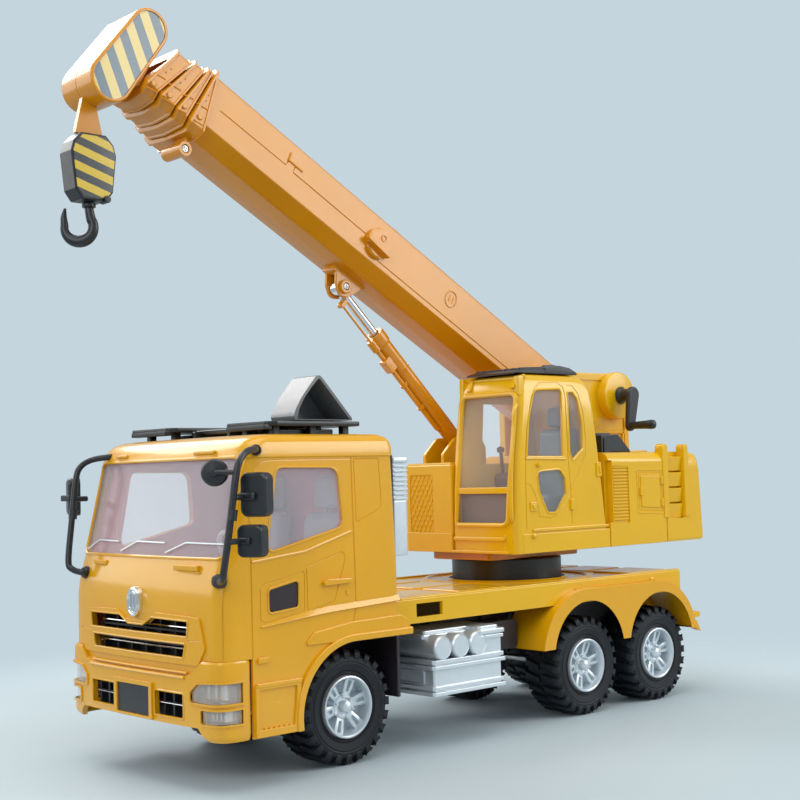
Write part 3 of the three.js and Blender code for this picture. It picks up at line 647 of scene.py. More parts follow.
WINDSCREEN = rounded([(-78.6, 129.8, 7), (78.6, 129.8, 7), (77.2, 187, 7), (-77.2, 187, 7)], steps=5)
DOOR_WINDOW = rounded([(193, 131.5, 4), (135.3, 144.5, 5), (138.0, 180.3, 7), (184.0, 181.0, 5)], steps=5)
LOW_WINDOW = rounded([(192.5, 97.5, 2.5), (170.5, 99.5, 2.5), (170, 115.7, 2.5), (192.5, 111.5, 2.5)])
GRILLE_PANEL = rounded([(-62, 70.5, 3), (62, 70.5, 3), (68.5, 80, 2), (64, 97.3, 3), (22, 98.6, 3),
                        (11, 93.2, 3), (-11, 93.2, 3), (-22, 98.6, 3), (-64, 97.3, 3), (-68.5, 80, 2)])
UPPER_SLOT = rounded([(-53, 86, 1), (53, 86, 1), (54, 95.2, 1), (17.5, 95.6, 1), (8, 90.8, 1), (-8, 90.8, 1),
                      (-17.5, 95.6, 1), (-54, 95.2, 1)])
LOWER_SLOT = rounded([(-49, 74, 1), (49, 74, 1), (51.5, 82.3, 1), (-51.5, 82.3, 1)])
ARCH = (129, 35, 42)
DOOR_LINE = 204


def arch_outline(radius, low=8.0):
    """The wheel opening: round in front and straight to the cab's rear along its top."""
    x, z, r = ARCH[0], ARCH[1], radius
    front = [(u, v) for u, v in arc(x, z, r, 90, -20, 22) if v > low]
    return [(60, z + r)] + front + [(front[-1][0], low), (60, low)]


def cab_groove(points, radius=0.6, closed=False):
    return tube(points, radius, 6, closed)


def on_front(points, proud=0.0, steps=1):
    """Points of (y, z) laid on the cab's front."""
    result = []
    for (y0, z0), (y1, z1) in zip(points, points[1:]):
        for k in range(steps):
            t = k / steps
            y, z = y0 + (y1 - y0) * t, z0 + (z1 - z0) * t
            result.append((cab_front(y, z) + proud, y, z))
    y, z = points[-1]
    result.append((cab_front(y, z) + proud, y, z))
    return result


def on_side(points, proud=0.0):
    """Points of (x, z) laid on the cab's left side."""
    return [(x, cab_side(z) + proud, z) for x, z in points]


def ring_on_front(outline, proud=0.0, steps=3):
    return on_front(list(outline) + [outline[0]], proud, steps)[:-1]


def cab_shell():
    wall = 2.2
    body = cut(cab_form(), cab_form(wall, inner_levels(wall)))
    openings = [
        block((80, 240), (-90, 90), (0, 29)),
        block((DOOR_LINE, 240), (-90, 90), (0, 64.5)),
        both(prism("X", [(58.5, 50), (58.5, 66.6), (66.5, 73.6), (90, 73.6), (90, 50)], DOOR_LINE, 240)),
        prism("Y", arch_outline(ARCH[2] - 0.5), -90, 90),
        block((85, 96), (-60, 60), (0, 80)),
        prism("X", WINDSCREEN, 195, 240),
        prism("Y", DOOR_WINDOW, -90, 90),
        prism("Y", LOW_WINDOW, -90, 90),
        prism("X", UPPER_SLOT, 215, 240),
        prism("X", LOWER_SLOT, 215, 240),
    ]
    for opening in openings:
        body = cut(body, opening)
    sides = []
    sides.append(cab_groove(on_side([(DOOR_LINE, z) for z in (74, 95, 120, 131, 140, 165)], 0.1)))
    door_top = [(DOOR_LINE, 165), (203, 174), (199, 181), (192, 184.3), (180, 184.8), (127.5, 184.8)]
    sides.append(cab_groove(on_side(door_top, 0.1)))
    sides.append(cab_groove(on_side([(127.5, z) for z in (186, 165, 140, 115, 96)]
                                    + [(129.5, 88), (130.5, 80)], 0.1)))
    quarter = rounded([(125, 146.5, 1), (104.5, 155, 4), (105.5, 185, 1), (125.5, 185, 1)])
    sides.append(cab_groove(on_side(quarter, 0.1), 0.5, closed=True))
    handle_panel = rounded([(164, 96.5, 1), (144, 101, 3), (133, 131, 3), (164.5, 122.5, 2)])
    sides.append(cab_groove(on_side(handle_panel, 0.1), 0.5, closed=True))
    low_frame = rounded([(198, 92.5, 3), (166.5, 96.5, 2), (166, 120.5, 2), (198, 114, 3)])
    sides.append(cab_groove(on_side(low_frame, 0.1), 0.5, closed=True))
    seam = on_front([(79.6, z) for z in (74, 90, 106, 114, 121)], 0.1)
    sides.append(cab_groove(seam, 0.5))
    return cut(body, both(merged(*sides)))


def cab_trim():
    """All that stands proud of the cab's skin: rims, arches, door swage, hinges and the grille's panel."""
    parts = []
    panel = common(cab_form(-1.3), prism("X", GRILLE_PANEL, 205, 240))
    for slot in (UPPER_SLOT, LOWER_SLOT):
        panel = cut(panel, prism("X", slot, 200, 245))
    panel = cut(panel, block((190, 224.4), (-90, 90), (0, 240)))
    lines = [cab_groove(on_front([(s * 53.5, 84), (s * 58, 84.2), (s * 67, 84.6)], 1.4), 0.45)
             for s in (1, -1)]
    parts.append(cut(bevelled(panel, 0.5, 2), *lines))
    for slot in (UPPER_SLOT, LOWER_SLOT):
        parts.append(tube(ring_on_front(slot, 1.2, 2), 0.7, 8, closed=True))
    parts.append(tube(ring_on_front(WINDSCREEN, 0.1, 4), 1.0, 8, closed=True))
    side = [tube(on_side(DOOR_WINDOW, 0.0), 0.75, 8, closed=True)]
    side.append(tube(on_side(LOW_WINDOW, 0.0), 0.7, 8, closed=True))
    swage = [(DOOR_LINE - 0.8, cab_side(131) - 0.4, 127.5), (165, cab_side(131) - 0.4, 131.5),
             (129.5, cab_side(140) - 0.4, 141.5)]
    side.append(tube(swage, 1.1, 8))
    lower = [(198, 90), (166, 93), (146, 94.5), (129.5, 95.2), (92.5, 97)]
    upper = [(198, 91.5), (166, 97), (146, 99.0), (129.5, 99.6), (92.5, 101)]
    strip = [[(x, cab_side(z) - 0.6, z) for x, z in lower],
             [(x, cab_side(z) + 1.5, z + 0.6) for x, z in lower],
             [(x, cab_side(z) - 0.3, z + 0.2) for x, z in upper]]
    side.append(bevelled(loft([[strip[k][i] for k in range(3)] for i in range(len(lower))]), 0.3, 2, 20))
    inner, outer = arch_outline(ARCH[2] - 0.8, 27), arch_outline(ARCH[2] + 3.6, 27)
    flange = cut(prism("Y", outer, CAB_HALF - 1.2, CAB_HALF + 2.4),
                 prism("Y", [(50, 77 - 0.8)] + inner[1:-1] + [(inner[-2][0], 0), (50, 0)], 70, 90))
    flange = cut(flange, block((50, 83), (60, 90), (0, 120)), block((50, 240), (60, 90), (0, 29)))
    side.append(bevelled(flange, 0.8, 3, 40))
    sill = [(83, 77), (168.0, 77), (160, 84.5), (131, 88.0), (92, 88.8), (86, 86), (84, 80)]
    side.append(bevelled(prism("Y", rounded(sill, 1.5), CAB_HALF - 1.5, CAB_HALF + 1.2), 0.7, 3, 40))
    handle = rounded([(131, 111.2, 1.2), (152, 110.6, 1.6), (153.5, 112.8, 1.5), (150, 114.4, 1),
                      (131, 113.8, 1.2)])
    side.append(bevelled(prism("Y", handle, CAB_HALF - 0.8, CAB_HALF + 2.4), 0.6, 2))
    side.append(lathe("Y", (133.5, CAB_HALF, 105.5),
                      [(0.01, -1), (1.5, -1), (1.5, 0.5), (1.0, 0.6), (0.01, 0.2)], 16))
    marker = rounded([(201, 70.4, 0.5), (193.5, 70.8, 0.5), (193.5, 73.8, 0.5), (201, 73.6, 0.5)])
    side.append(bevelled(prism("Y", marker, CAB_HALF - 0.8, CAB_HALF + 1.6), 0.4, 2))
    side.extend(step_box())
    parts.append(both(merged(*side)))
    for y0, y1, z, size in ((-57, -42, 125.3, 1.4), (34, 59, 124.6, 1.6), (-55, -42, 190.6, 1.0),
                            (33, 54, 190.4, 1.1)):
        front = cab_front((y0 + y1) / 2, z)
        hinge = block((front - 3, front + 1.6), (y0, y1), (z - size, z + size))
        foot = block((front - 3, front + 1.0), (y0 + 3, y1 + 1), (z - size - 1.6, z - size))
        parts.append(bevelled(hinge, 0.6, 2))
        parts.append(bevelled(foot, 0.3, 1))
    return merged(*parts)


def step_box():
    """The boarding step in front of the wheel arch, with its frame, recess and tread teeth."""
    frame = [(203.2, 29.3, 1), (203.2, 58.5, 1), (170.7, 58.5, 1), (171.2, 45, 1), (173, 29.3, 1)]
    hole = [(200.6, 33.5, 0.8), (200.6, 55.7, 0.8), (173.8, 55.7, 0.8), (174.4, 45, 0.8), (176, 33.5, 0.8)]
    skin = bevelled(cut(prism("Y", rounded(frame), CAB_HALF - 2.5, CAB_HALF + 1.4),
                        prism("Y", rounded(hole), CAB_HALF - 0.4, CAB_HALF + 5)), 0.4, 2)
    boss_edge = rounded([(183, 47.5, 1.5), (192, 48, 1.5), (192, 53.5, 1.5), (183, 53, 1.5)])
    boss = tube([(x, CAB_HALF - 0.5, z) for x, z in boss_edge], 0.55, 8, closed=True)
    ledge = beam((170.5, 202.5), (CAB_HALF - 1, CAB_HALF + 1.8), (57.0, 59.4), 0.5)
    lines = [tube([(175, CAB_HALF - 0.45, z), (200, CAB_HALF - 0.45, z)], 0.35, 6) for z in (38.5, 43.5)]
    teeth = [beam((177.5 + 3.6 * k, 179.4 + 3.6 * k), (CAB_HALF - 0.6, CAB_HALF + 1.0), (32.6, 34.6), 0.2,
                  1) for k in range(6)]
    return [skin, boss, ledge, *lines, *teeth]


def cab_glass():
    shell = cut(cab_form(0.5), cab_form(1.6, inner_levels(1.2)))
    screen = common(shell, prism("X", WINDSCREEN, 190, 240))
    doors = common(shell, prism("Y", DOOR_WINDOW, -90, 90))
    low = common(shell, prism("Y", LOW_WINDOW, -90, 90))
    return merged(screen, doors), low


def cab_inside():
    floor = block((94, 204), (-76, 76), (78, 83))
    liner = cut(cab_form(2.6, inner_levels(2.6)), cab_form(3.8, inner_levels(3.8)))
    for opening in (prism("X", WINDSCREEN, 195, 240), prism("Y", DOOR_WINDOW, -90, 90),
                    prism("Y", LOW_WINDOW, -90, 90), block((80, 240), (-90, 90), (0, 80)),
                    block((212, 240), (-90, 90), (0, 100))):
        liner = cut(liner, opening)
    dash = slab("Y", [(184, 84), (212, 84), (214, 128, 6), (198, 129, 6), (186, 118, 4)], -74, 74, 1.5, 3)
    return merged(floor, liner, dash)


def cab_seat(y):
    cushion = slab("Y", [(112, 84, 3), (152, 84, 4), (156, 100, 8), (150, 107, 6), (112, 104, 3)], y - 24,
                   y + 24, 4, 4)
    back = slab("Y", [(103, 98, 4), (118, 98, 4), (112, 152, 6), (100, 152, 5)], y - 23, y + 23, 4, 4)
    head = slab("Y", [(99, 154, 4), (111, 154, 4), (109, 176, 6), (98, 176, 5)], y - 14, y + 14, 3.5, 4)
    return merged(cushion, back, head, rod((106, y - 7, 150), (105, y - 7, 158), 1.5),
                  rod((106, y + 7, 150), (105, y + 7, 158), 1.5))


def steering_wheel():
    tilt = Matrix.Translation((183, 38, 131)) @ Matrix.Rotation(math.radians(-62), 4, "Y")
    ring = lathe("Z", (0, 0, 0), arc(14, 0, 1.6, 0, 315, 7), 40)
    hub = lathe("Z", (0, 0, 0), [(0.01, -3), (4, -3), (4, 1), (3, 1.8), (0.01, 1.8)], 20)
    spokes = [rod((0, 0, -0.5), (14 * math.cos(a), 14 * math.sin(a), 0), 1.2, 8) for a in (0.5, 2.64, 4.71)]
    return merged(moved(merged(ring, hub, *spokes), tilt), rod((185, 38, 129), (197, 38, 116), 2))


def wipers():
    """Three ridges for wipers, lying along the foot of the windscreen."""
    arms = []
    for start, length in ((-73, 40), (-28, 48), (22, 53)):
        line = [(start, 132.6), (start + 0.36 * length, 138.6), (start + length, 138.2)]
        arms.append(tube(on_front(line, 0.1, 4), 0.6, 6))
    return merged(*arms)


def grille_inside():
    back = block((216, 218), (-56, 56), (72, 97))
    bars = [beam((217, 222.5), (y - 0.6, y + 0.6), (72.5, 96), 0.2, 1) for y in range(-48, 49, 16)]
    rows = [beam((217, 223.3), (-54, 54), (z - 0.7, z + 0.7), 0.2, 1) for z in (80.3, 88)]
    return merged(back, *bars, *rows)


def truck_cab():
    piece("cab_shell_skin", "truck", YELLOW, cab_shell(), ("cab_shell",))
    piece("cab_trim", "truck", YELLOW, cab_trim())
    windows, low_windows = cab_glass()
    piece("cab_windows", "truck", CLEAR, windows, ("cab_glazing",))
    piece("cab_low_windows", "truck", SMOKE, low_windows)
    piece("cab_lining", "truck", RED, cab_inside(), ("cab_interior",))
    piece("cab_seats", "truck", SEAT_GREY, merged(cab_seat(36), cab_seat(-36)))
    piece("cab_steering", "truck", SEAT_GREY, steering_wheel())
    piece("cab_wipers", "truck", SILVER, wipers())
    pockets = both(beam((168, 195), (76.6, 78.2), (95.5, 117.5), 0.3, 1))
    piece("cab_door_pockets", "truck", BLACK, pockets)
    piece("front_grille_slats", "truck", BLACK, grille_inside(), ("front_grille",))
    chrome = [tube([(223.4 - abs(y) * 0.012, y, z) for y in range(-48, 49, 8)], 0.75, 8)
              for z in (90.3, 78.2)]
    piece("front_grille_bars", "truck", CHROME, merged(*chrome))


wheels()
truck_cab()


# ---------------------------------------------------------------- bumper, lamps and badge
BUMPER_LEVELS = [(29, 225.6, 204.3, 1.2), (30.5, 227.2, 204.3, 0.4), (33, 228.3, 204.3, 0),
                 (52, 228.6, 204.3, 0), (64.5, 228.6, 204.3, 0), (72.2, 228.4, 204.3, 0),
                 (73.5, 227.4, 204.3, 0.8)]
HEADLAMP = rounded([(57.5, 50.5, 1.5), (75.5, 50.3, 0), (86, 50.8, 0), (86, 61.6, 0), (76.5, 61.8, 0),
                    (63.5, 60.8, 2), (57.5, 56, 2)])
FOG_LAMP = rounded([(66.5, 39.2, 1.2), (86, 39.2, 0), (86, 46.8, 0), (66.5, 46.8, 1.2)])
LAMP_REAR, BUMPER_REACH = 212.0, 2.6
BUMPER_GRILLE = rounded([(21.5, 40, 1.2), (50.5, 40, 1.2), (50.5, 54.5, 1.2), (21.5, 54.5, 1.2)])


def bumper_form(inset=0.0, past=0.0):
    """The bumper's outer form. An inset one runs out behind, and past its foot and its top."""
    levels = [(z, front, rear - (30 if inset else 0), lean) for z, front, rear, lean in BUMPER_LEVELS]
    (foot, *low), *middle, (head, *high) = levels
    return cab_form(inset, [(foot - past, *low), *middle, (head + past, *high)], reach=BUMPER_REACH,
                    side_reach=0.6)


def bumper():
    body = cut(bumper_form(), bumper_form(3.4, 4))
    top = [(-80, 90), (-66.5, 73.4, 2), (-58.5, 66.4, 2), (-53, 64.6, 2), (53, 64.6, 2), (58.5, 66.4, 2),
           (66.5, 73.4, 2), (80, 90)]
    foot = [(-71.5, 20), (-70, 29, 2), (-63, 36.4, 2), (63, 36.4, 2), (70, 29, 2), (71.5, 20)]
    body = cut(body, prism("X", rounded(top), 190, 245))
    body = cut(body, prism("X", rounded(foot), 190, 245))
    body = bevelled(body, 0.5, 2, 40)
    for outline in (HEADLAMP, FOG_LAMP, BUMPER_GRILLE):
        body = cut(body, both(prism("X", outline, LAMP_REAR, 245)))
    seams = [tube([(BUMPER_LEVELS[3][1] + BUMPER_REACH - 1.1, y, z) for z in (36, 65)], 0.42, 6)
             for y in (53.5, -53.5)]
    return cut(body, *seams)


def bumper_front(y):
    """The bumper's own face, at its flat middle height."""
    return cab_front(y, 60) + BUMPER_REACH


def bumper_trim():
    parts = []
    for z, reach, thick in ((63.6, 0.4, 1.0), (66.0, -1.6, 0.8)):
        line = [(bumper_front(y) + reach, y, z) for y in range(-52, 53, 8)]
        parts.append(tube(line, thick, 8))
    parts.append(both(tube([(bumper_front(y) - 0.1, y, z) for y, z in BUMPER_GRILLE], 0.65, 8, closed=True)))
    parts.append(both(merged(lamp_rim(HEADLAMP, 0.9, 1.3), lamp_rim(FOG_LAMP, 0.8, 1.1))))
    frame = prism("X", rounded([(-21, 37), (21, 37), (21, 58.3), (-21, 58.3)], 0.8), 227, 232.6)
    hole = prism("X", rounded([(-17.8, 38.4), (17.8, 38.4), (17.8, 55.6), (-17.8, 55.6)], 0.5), 230.4, 236)
    parts.append(bevelled(cut(frame, hole), 0.4, 2))
    return merged(*parts)


def grown(outline, wide):
    """A lamp's outline made larger all round."""
    low_y, high_y = min(y for y, _ in outline), max(y for y, _ in outline)
    low_z, high_z = min(z for _, z in outline), max(z for _, z in outline)
    mid_y, mid_z = (low_y + high_y) / 2, (low_z + high_z) / 2
    across, tall = 1 + 2 * wide / (high_y - low_y), 1 + 2 * wide / (high_z - low_z)
    return [(mid_y + (y - mid_y) * across, mid_z + (z - mid_z) * tall) for y, z in outline]


def lamp_rim(outline, proud, wide):
    """The raised rim round a lamp, which runs on round the bumper's corner."""
    band = cut(bumper_form(-proud), bumper_form(1.0, 3))
    ring = cut(prism("X", grown(outline, wide), LAMP_REAR - wide, 245), prism("X", outline, LAMP_REAR, 250))
    return common(band, ring)


def bumper_grilles():
    back = block((221.5, 223), (-52, 52), (38, 56))
    bars = [beam((222.5, 226.8), (y - 0.8, y + 0.8), (39, 55.5), 0.2, 1) for y in (26, 36, 46)]
    side = merged(*bars, beam((222.5, 227.2), (20, 51), (46.6, 48), 0.2, 1))
    return merged(back, both(side))


def lamp_insides():
    """A dark bowl with bright steps behind each lens."""
    head = [beam((211, 222 - 1.2 * k), (60 + 5.6 * k, 64.6 + 5.6 * k), (51.5, 60.5), 0.6) for k in range(3)]
    fog = [beam((210, 223 - 0.9 * k), (68 + 2.8 * k, 69.6 + 2.8 * k), (40, 46), 0.4) for k in range(4)]
    return both(merged(*head, *fog))


def lamp_bowls():
    return both(merged(block((207, 213.5), (56, 79), (49, 63)), block((207, 212.5), (65, 79), (38, 48))))


def lenses():
    shell = cut(bumper_form(0.9), bumper_form(2.2, 3))
    lens = [common(shell, both(prism("X", outline, LAMP_REAR - 0.2, 245)))
            for outline in (HEADLAMP, FOG_LAMP)]
    return merged(*lens)


def badge():
    middle, tall, wide = 103.6, 9.0, 7.0

    def oval(scale, x):
        return [(x, y, z) for y, z in arc(0, middle, wide * scale, 0, 351, 39, tall / wide)]
    plate = loft([oval(1, 227), oval(1, 230.6), oval(0.95, 231.3), oval(0.84, 231.5), oval(0.80, 230.9),
                  oval(0.6, 231.1), oval(0.3, 231.3)])
    ribs = [beam((230.4, 231.9), (y - 0.7, y + 0.7), (middle - 3.4, middle + 5.2), 0.3) for y in (-2, 0.9)]
    edge = arc(0, middle, 4.6, 0, 348.75, 31, 6.2 / 4.6)
    ring = tube([(231.0, y, z) for y, z in edge], 0.45, 6, closed=True)
    return merged(plate, ring, *ribs)


def front_end():
    piece("front_bumper_skin", "truck", YELLOW, bumper(), ("front_bumper",))
    piece("front_bumper_trim", "truck", YELLOW, bumper_trim())
    piece("bumper_grille_slats", "truck", BLACK, bumper_grilles(), ("bumper_grille",))
    chrome = tube([(bumper_front(y) - 2.2, y, 47.3) for y in range(20, 51, 6)], 0.35, 6)
    piece("bumper_grille_bars", "truck", CHROME, both(chrome))
    plate = bevelled(prism("X", rounded([(-17.6, 38.6), (17.6, 38.6), (17.6, 55.4), (-17.6, 55.4)], 0.6),
                           229.5, 231.6), 0.25, 1)
    piece("number_plate_blank", "truck", BLACK, plate, ("number_plate",))
    piece("lamp_bowls", "truck", BLACK, lamp_bowls())
    piece("lamp_reflectors", "truck", CHROME, lamp_insides())
    piece("headlamp_lenses", "truck", LAMP, lenses(), ("headlamp_left", "headlamp_right"))
    piece("front_badge_oval", "truck", CHROME, badge(), ("front_badge",))


# ---------------------------------------------------------------- roof gear, mirrors, stack and side boxes
def roof_rack():
    """Two raised black plates, each with a folded front edge and legs, joined by a low slatted bridge."""
    def plate(y0, y1, front):
        outline = rounded([(103, y0, 3), (front - 4, y0, 3), (front, y0 + 4, 3), (front - 2, y1 - 4, 3),
                           (front - 7, y1, 3), (105, y1, 3)])
        lip = beam((front - 6, front), (y0 + 3, y1 - 3), (203.4, 206.5), 0.6)
        legs = [beam((x - 2.4, x + 2.4), (y - 2.4, y + 2.4), (199.2, 206), 0.4, 1)
                for x in (112, 138, front - 12) for y in (y0 + 9, y1 - 9)]
        under = beam((118, 160), (y0 + 12, y1 - 12), (200.3, 204), 0.6)
        return merged(bevelled(prism("Z", outline, 205.4, 208.4), 0.8, 2), lip, *legs, under)
    slats = [beam((x, x + 5), (-32, 21), (203.6, 206.2), 0.4, 1) for x in range(112, 168, 8)]
    rails = [beam((110, 170), (y - 1.4, y + 1.4), (200.5, 205.4), 0.4, 1) for y in (-24, 14)]
    return merged(plate(20, 65, 178), plate(-78, -31, 185), *slats, *rails)


def deflector():
    """The hollow grey wedge: a bowed front face, a straight rear face and open ends."""
    front = [(153.5, 209.2), (154.3, 211.5), (152.5, 216), (148, 223), (142, 230), (136.5, 236.2)]
    outline = front + [(133.5, 236.9), (131.5, 235.6), (108.5, 211), (108.2, 209.2)]
    inner = [(151.6, 209.8), (149.8, 216), (145.8, 222.6), (139.8, 229.4), (134.4, 234.6), (133.2, 234.2),
             (110.4, 209.8)]
    return bevelled(cut(prism("Y", outline, 37, 60.4), prism("Y", inner, 38.4, 70)), 0.4, 2, 35)


def mirror_arm(sign):
    out = 0 if sign > 0 else -21
    arm = smooth_path([(197, 79 + out / 2, 190.5), (204, 88 + out, 191), (214.5, 95 + out, 189.5),
                       (221.5, 98 + out, 185), (224.8, 98.5 + out, 176), (228.6, 97.5 + out, 150),
                       (232, 96 + out, 126), (231, 93 + out, 120.5), (227.5, 86 + out, 118.4),
                       (223, 78 + out / 2, 118.2)], 6)
    parts = [tube(arm, 2.0, 12)]
    parts.append(peg((194.5, 76.5 + out / 2, 190.3), (200.5, 84 + out * 0.8, 190.8), 3.2, 16, 0.6))
    parts.append(lathe("X", (0, 78 + out / 2, 118.2),
                       [(0.01, 220.5), (4.0, 220.5), (4.0, 224.5), (3.2, 226), (0.01, 226.4)], 24))
    parts.append(rod((227.6, 98 + out, 152), (226.8, 98 + out, 158), 2.7, 14))
    parts.append(turned_housing((209.5, 217.5), (93, 110), (153.5, 178), 4.0))
    parts.append(peg((217, 98 + out, 164.6), (227.5, 98 + out, 164.6), 1.7, 12, 0.4, 1))
    parts.append(beam((217.6, 220.4), (94, 106), (163, 167), 0.6))
    if sign > 0:
        parts.append(turned_housing((212.5, 220.5), (93, 109), (131.5, 149.5), 3.4))
        parts.append(peg((219, 98, 140.6), (230, 97.5, 140.6), 1.7, 12, 0.4, 1))
        parts.append(beam((220, 222.8), (95, 104.5), (139, 142.6), 0.6))
        disc = lathe("Y", (0, 0, 0), [(0.01, 0), (6.8, 0), (7.6, 0.8), (7.6, 3.0), (6.6, 4.2), (0.01, 4.8)],
                     36)
        turn = Matrix.Translation((229.0, 85, 178.4)) @ Matrix.Rotation(math.radians(-42), 4, "Z")
        parts.append(moved(disc, turn))
        parts.append(peg((232.6, 89.2, 178.6), (225.2, 98.4, 178.2), 1.5, 12, 0.4, 1))
        parts.append(peg((230.6, 86.8, 178.6), (233.4, 89.8, 178.6), 2.6, 14, 0.6))
    form = merged(*parts)
    return form if sign > 0 else mirrored(form)


def turned_housing(x, y, z, radius):
    """A housing turned outwards about its own upright."""
    return turned(housing(x, y, z, radius), (x[0] + x[1]) / 2, (y[0] + y[1]) / 2, 24)


def housing(x, y, z, radius):
    """A mirror housing: rounded from the front, with a dished back and a rim."""
    outline = rounded([(y[0], z[0]), (y[1], z[0]), (y[1], z[1]), (y[0], z[1])], radius, 5)
    middle = ((y[0] + y[1]) / 2, (z[0] + z[1]) / 2)

    def ring(at, scale):
        return [(at, middle[0] + (u - middle[0]) * scale, middle[1] + (v - middle[1]) * scale)
                for u, v in outline]
    return loft([ring(x[0] + 0.8, 0.86), ring(x[0] + 0.8, 0.92), ring(x[0], 0.95), ring(x[0], 0.99),
                 ring(x[0] + 1, 1.0), ring(x[1] - 2.4, 1.0), ring(x[1] - 0.8, 0.95), ring(x[1], 0.82)])


def stack():
    """The air intake behind the cab: a box with louvres round its upper half."""
    body = slab("Z", [(76.5, 57, 1.5), (88.5, 57, 1), (88.5, 75, 1), (76.5, 75, 2)], 124, 158.5, 0.8)
    core = slab("Z", [(78, 58.5, 1), (88.5, 58.5, 1), (88.5, 74, 1), (78, 74, 1)], 157, 183, 0.4, 1)
    fins = [slab("Z", [(76, 57, 1.2), (89, 57, 1), (89, 76, 1.2), (76, 76, 1.6)], z, z + 1.7, 0.4, 1)
            for z in (159 + 2.9 * k for k in range(8))]
    top = slab("Z", [(76, 57, 2), (89, 57, 1), (89, 76, 1), (76, 76, 2)], 182, 185.4, 0.8)
    return merged(body, core, top, *fins)


def side_box():
    """Two stacked boxes with ribbed bands, and three tanks above the lower one."""
    def tier(z, reach, radius=2.5):
        outline = rounded([(-7 + 3.5 - reach, 34.3), (57.5 + reach, 34.3),
                           (57.5 + reach, 74.5 + reach, radius), (-7 + 3.5 - reach, 74.5 + reach, radius)])
        return bevelled(prism("Z", outline, z[0], z[1]), 0.5, 2, 50)
    parts = [tier((34.5, 54), 0.6, 1.5)]
    for low, high in ((33.4, 36.0), (36.9, 39.4), (49.8, 52.4), (53.2, 56.0)):
        parts.append(tier((low, high), 3.2 if low in (33.4, 49.8) else 2.4))
    back = beam((-3.6, 17.5), (34.3, 75.5), (55, 69), 0.7)
    parts += [back, beam((17, 24), (34.3, 70), (55, 69), 0.5, 1)]
    top = slab("Z", [(-6.2, 34.3), (59.8, 34.3), (59.8, 67, 2), (19.5, 67, 1), (18.5, 78, 1.5),
                     (-6.2, 78, 3)], 68.6, 71.4, 0.6, 2, 50)
    lid = slab("Z", [(-3, 34.3), (56, 34.3), (56, 64, 2), (17, 64, 1), (16, 74.8, 2), (-3, 74.8, 3)], 71,
               73.6, 0.7, 2, 50)
    band = slab("Z", [(-5.4, 34.3), (19.0, 34.3), (19.0, 77.2, 2), (-5.4, 77.2, 2)], 65.4, 67.8, 0.5, 2, 50)
    parts += [top, lid, band]
    frame = [(36, 66.5, 1.5), (66, 66.5, 1.5), (66, 42, 1.5), (36, 42, 1.5)]
    parts.append(tube([(58.6, y, 40.6 + (z - 42) * 0.32) for y, z in rounded(frame)], 0.6, 6, closed=True))
    for k in range(3):
        x = 51.0 - 16.0 * k
        parts.append(lathe("Y", (x, 0, 63.4), [(0.01, 34.5), (7.8, 34.5), (8.0, 36), (8.0, 75.2),
                                               (7.6, 76.6), (6.9, 77.4), (6.7, 77.0), (0.01, 77.2)], 40))
    return merged(*parts)


def truck_gear():
    piece("roof_rack_plates", "truck", BLACK, roof_rack(), ("roof_rack",))
    piece("wind_deflector_wedge", "truck", PALE_GREY, deflector(), ("wind_deflector",))
    piece("mirror_left_set", "truck", BLACK, mirror_arm(1), ("mirror_left",))
    piece("mirror_right_set", "truck", BLACK, mirror_arm(-1), ("mirror_right",))
    piece("intake_stack_louvred", "truck", SILVER, stack(), ("intake_stack",))
    piece("intake_stack_seal", "truck", BLACK, beam((88.4, 91.6), (57, 75), (124, 187), 0.4, 1))
    box = side_box()
    piece("side_box_left_ribbed", "truck", SILVER, box, ("side_box_left",))
    piece("side_box_right_ribbed", "truck", SILVER, mirrored(box), ("side_box_right",))


# ---------------------------------------------------------------- frame, deck and fenders
DECK_TOP, DECK_HALF, DECK_REAR, DECK_FRONT = 95.5, 70.0, -211.0, 82.0
SLEW_X = -91


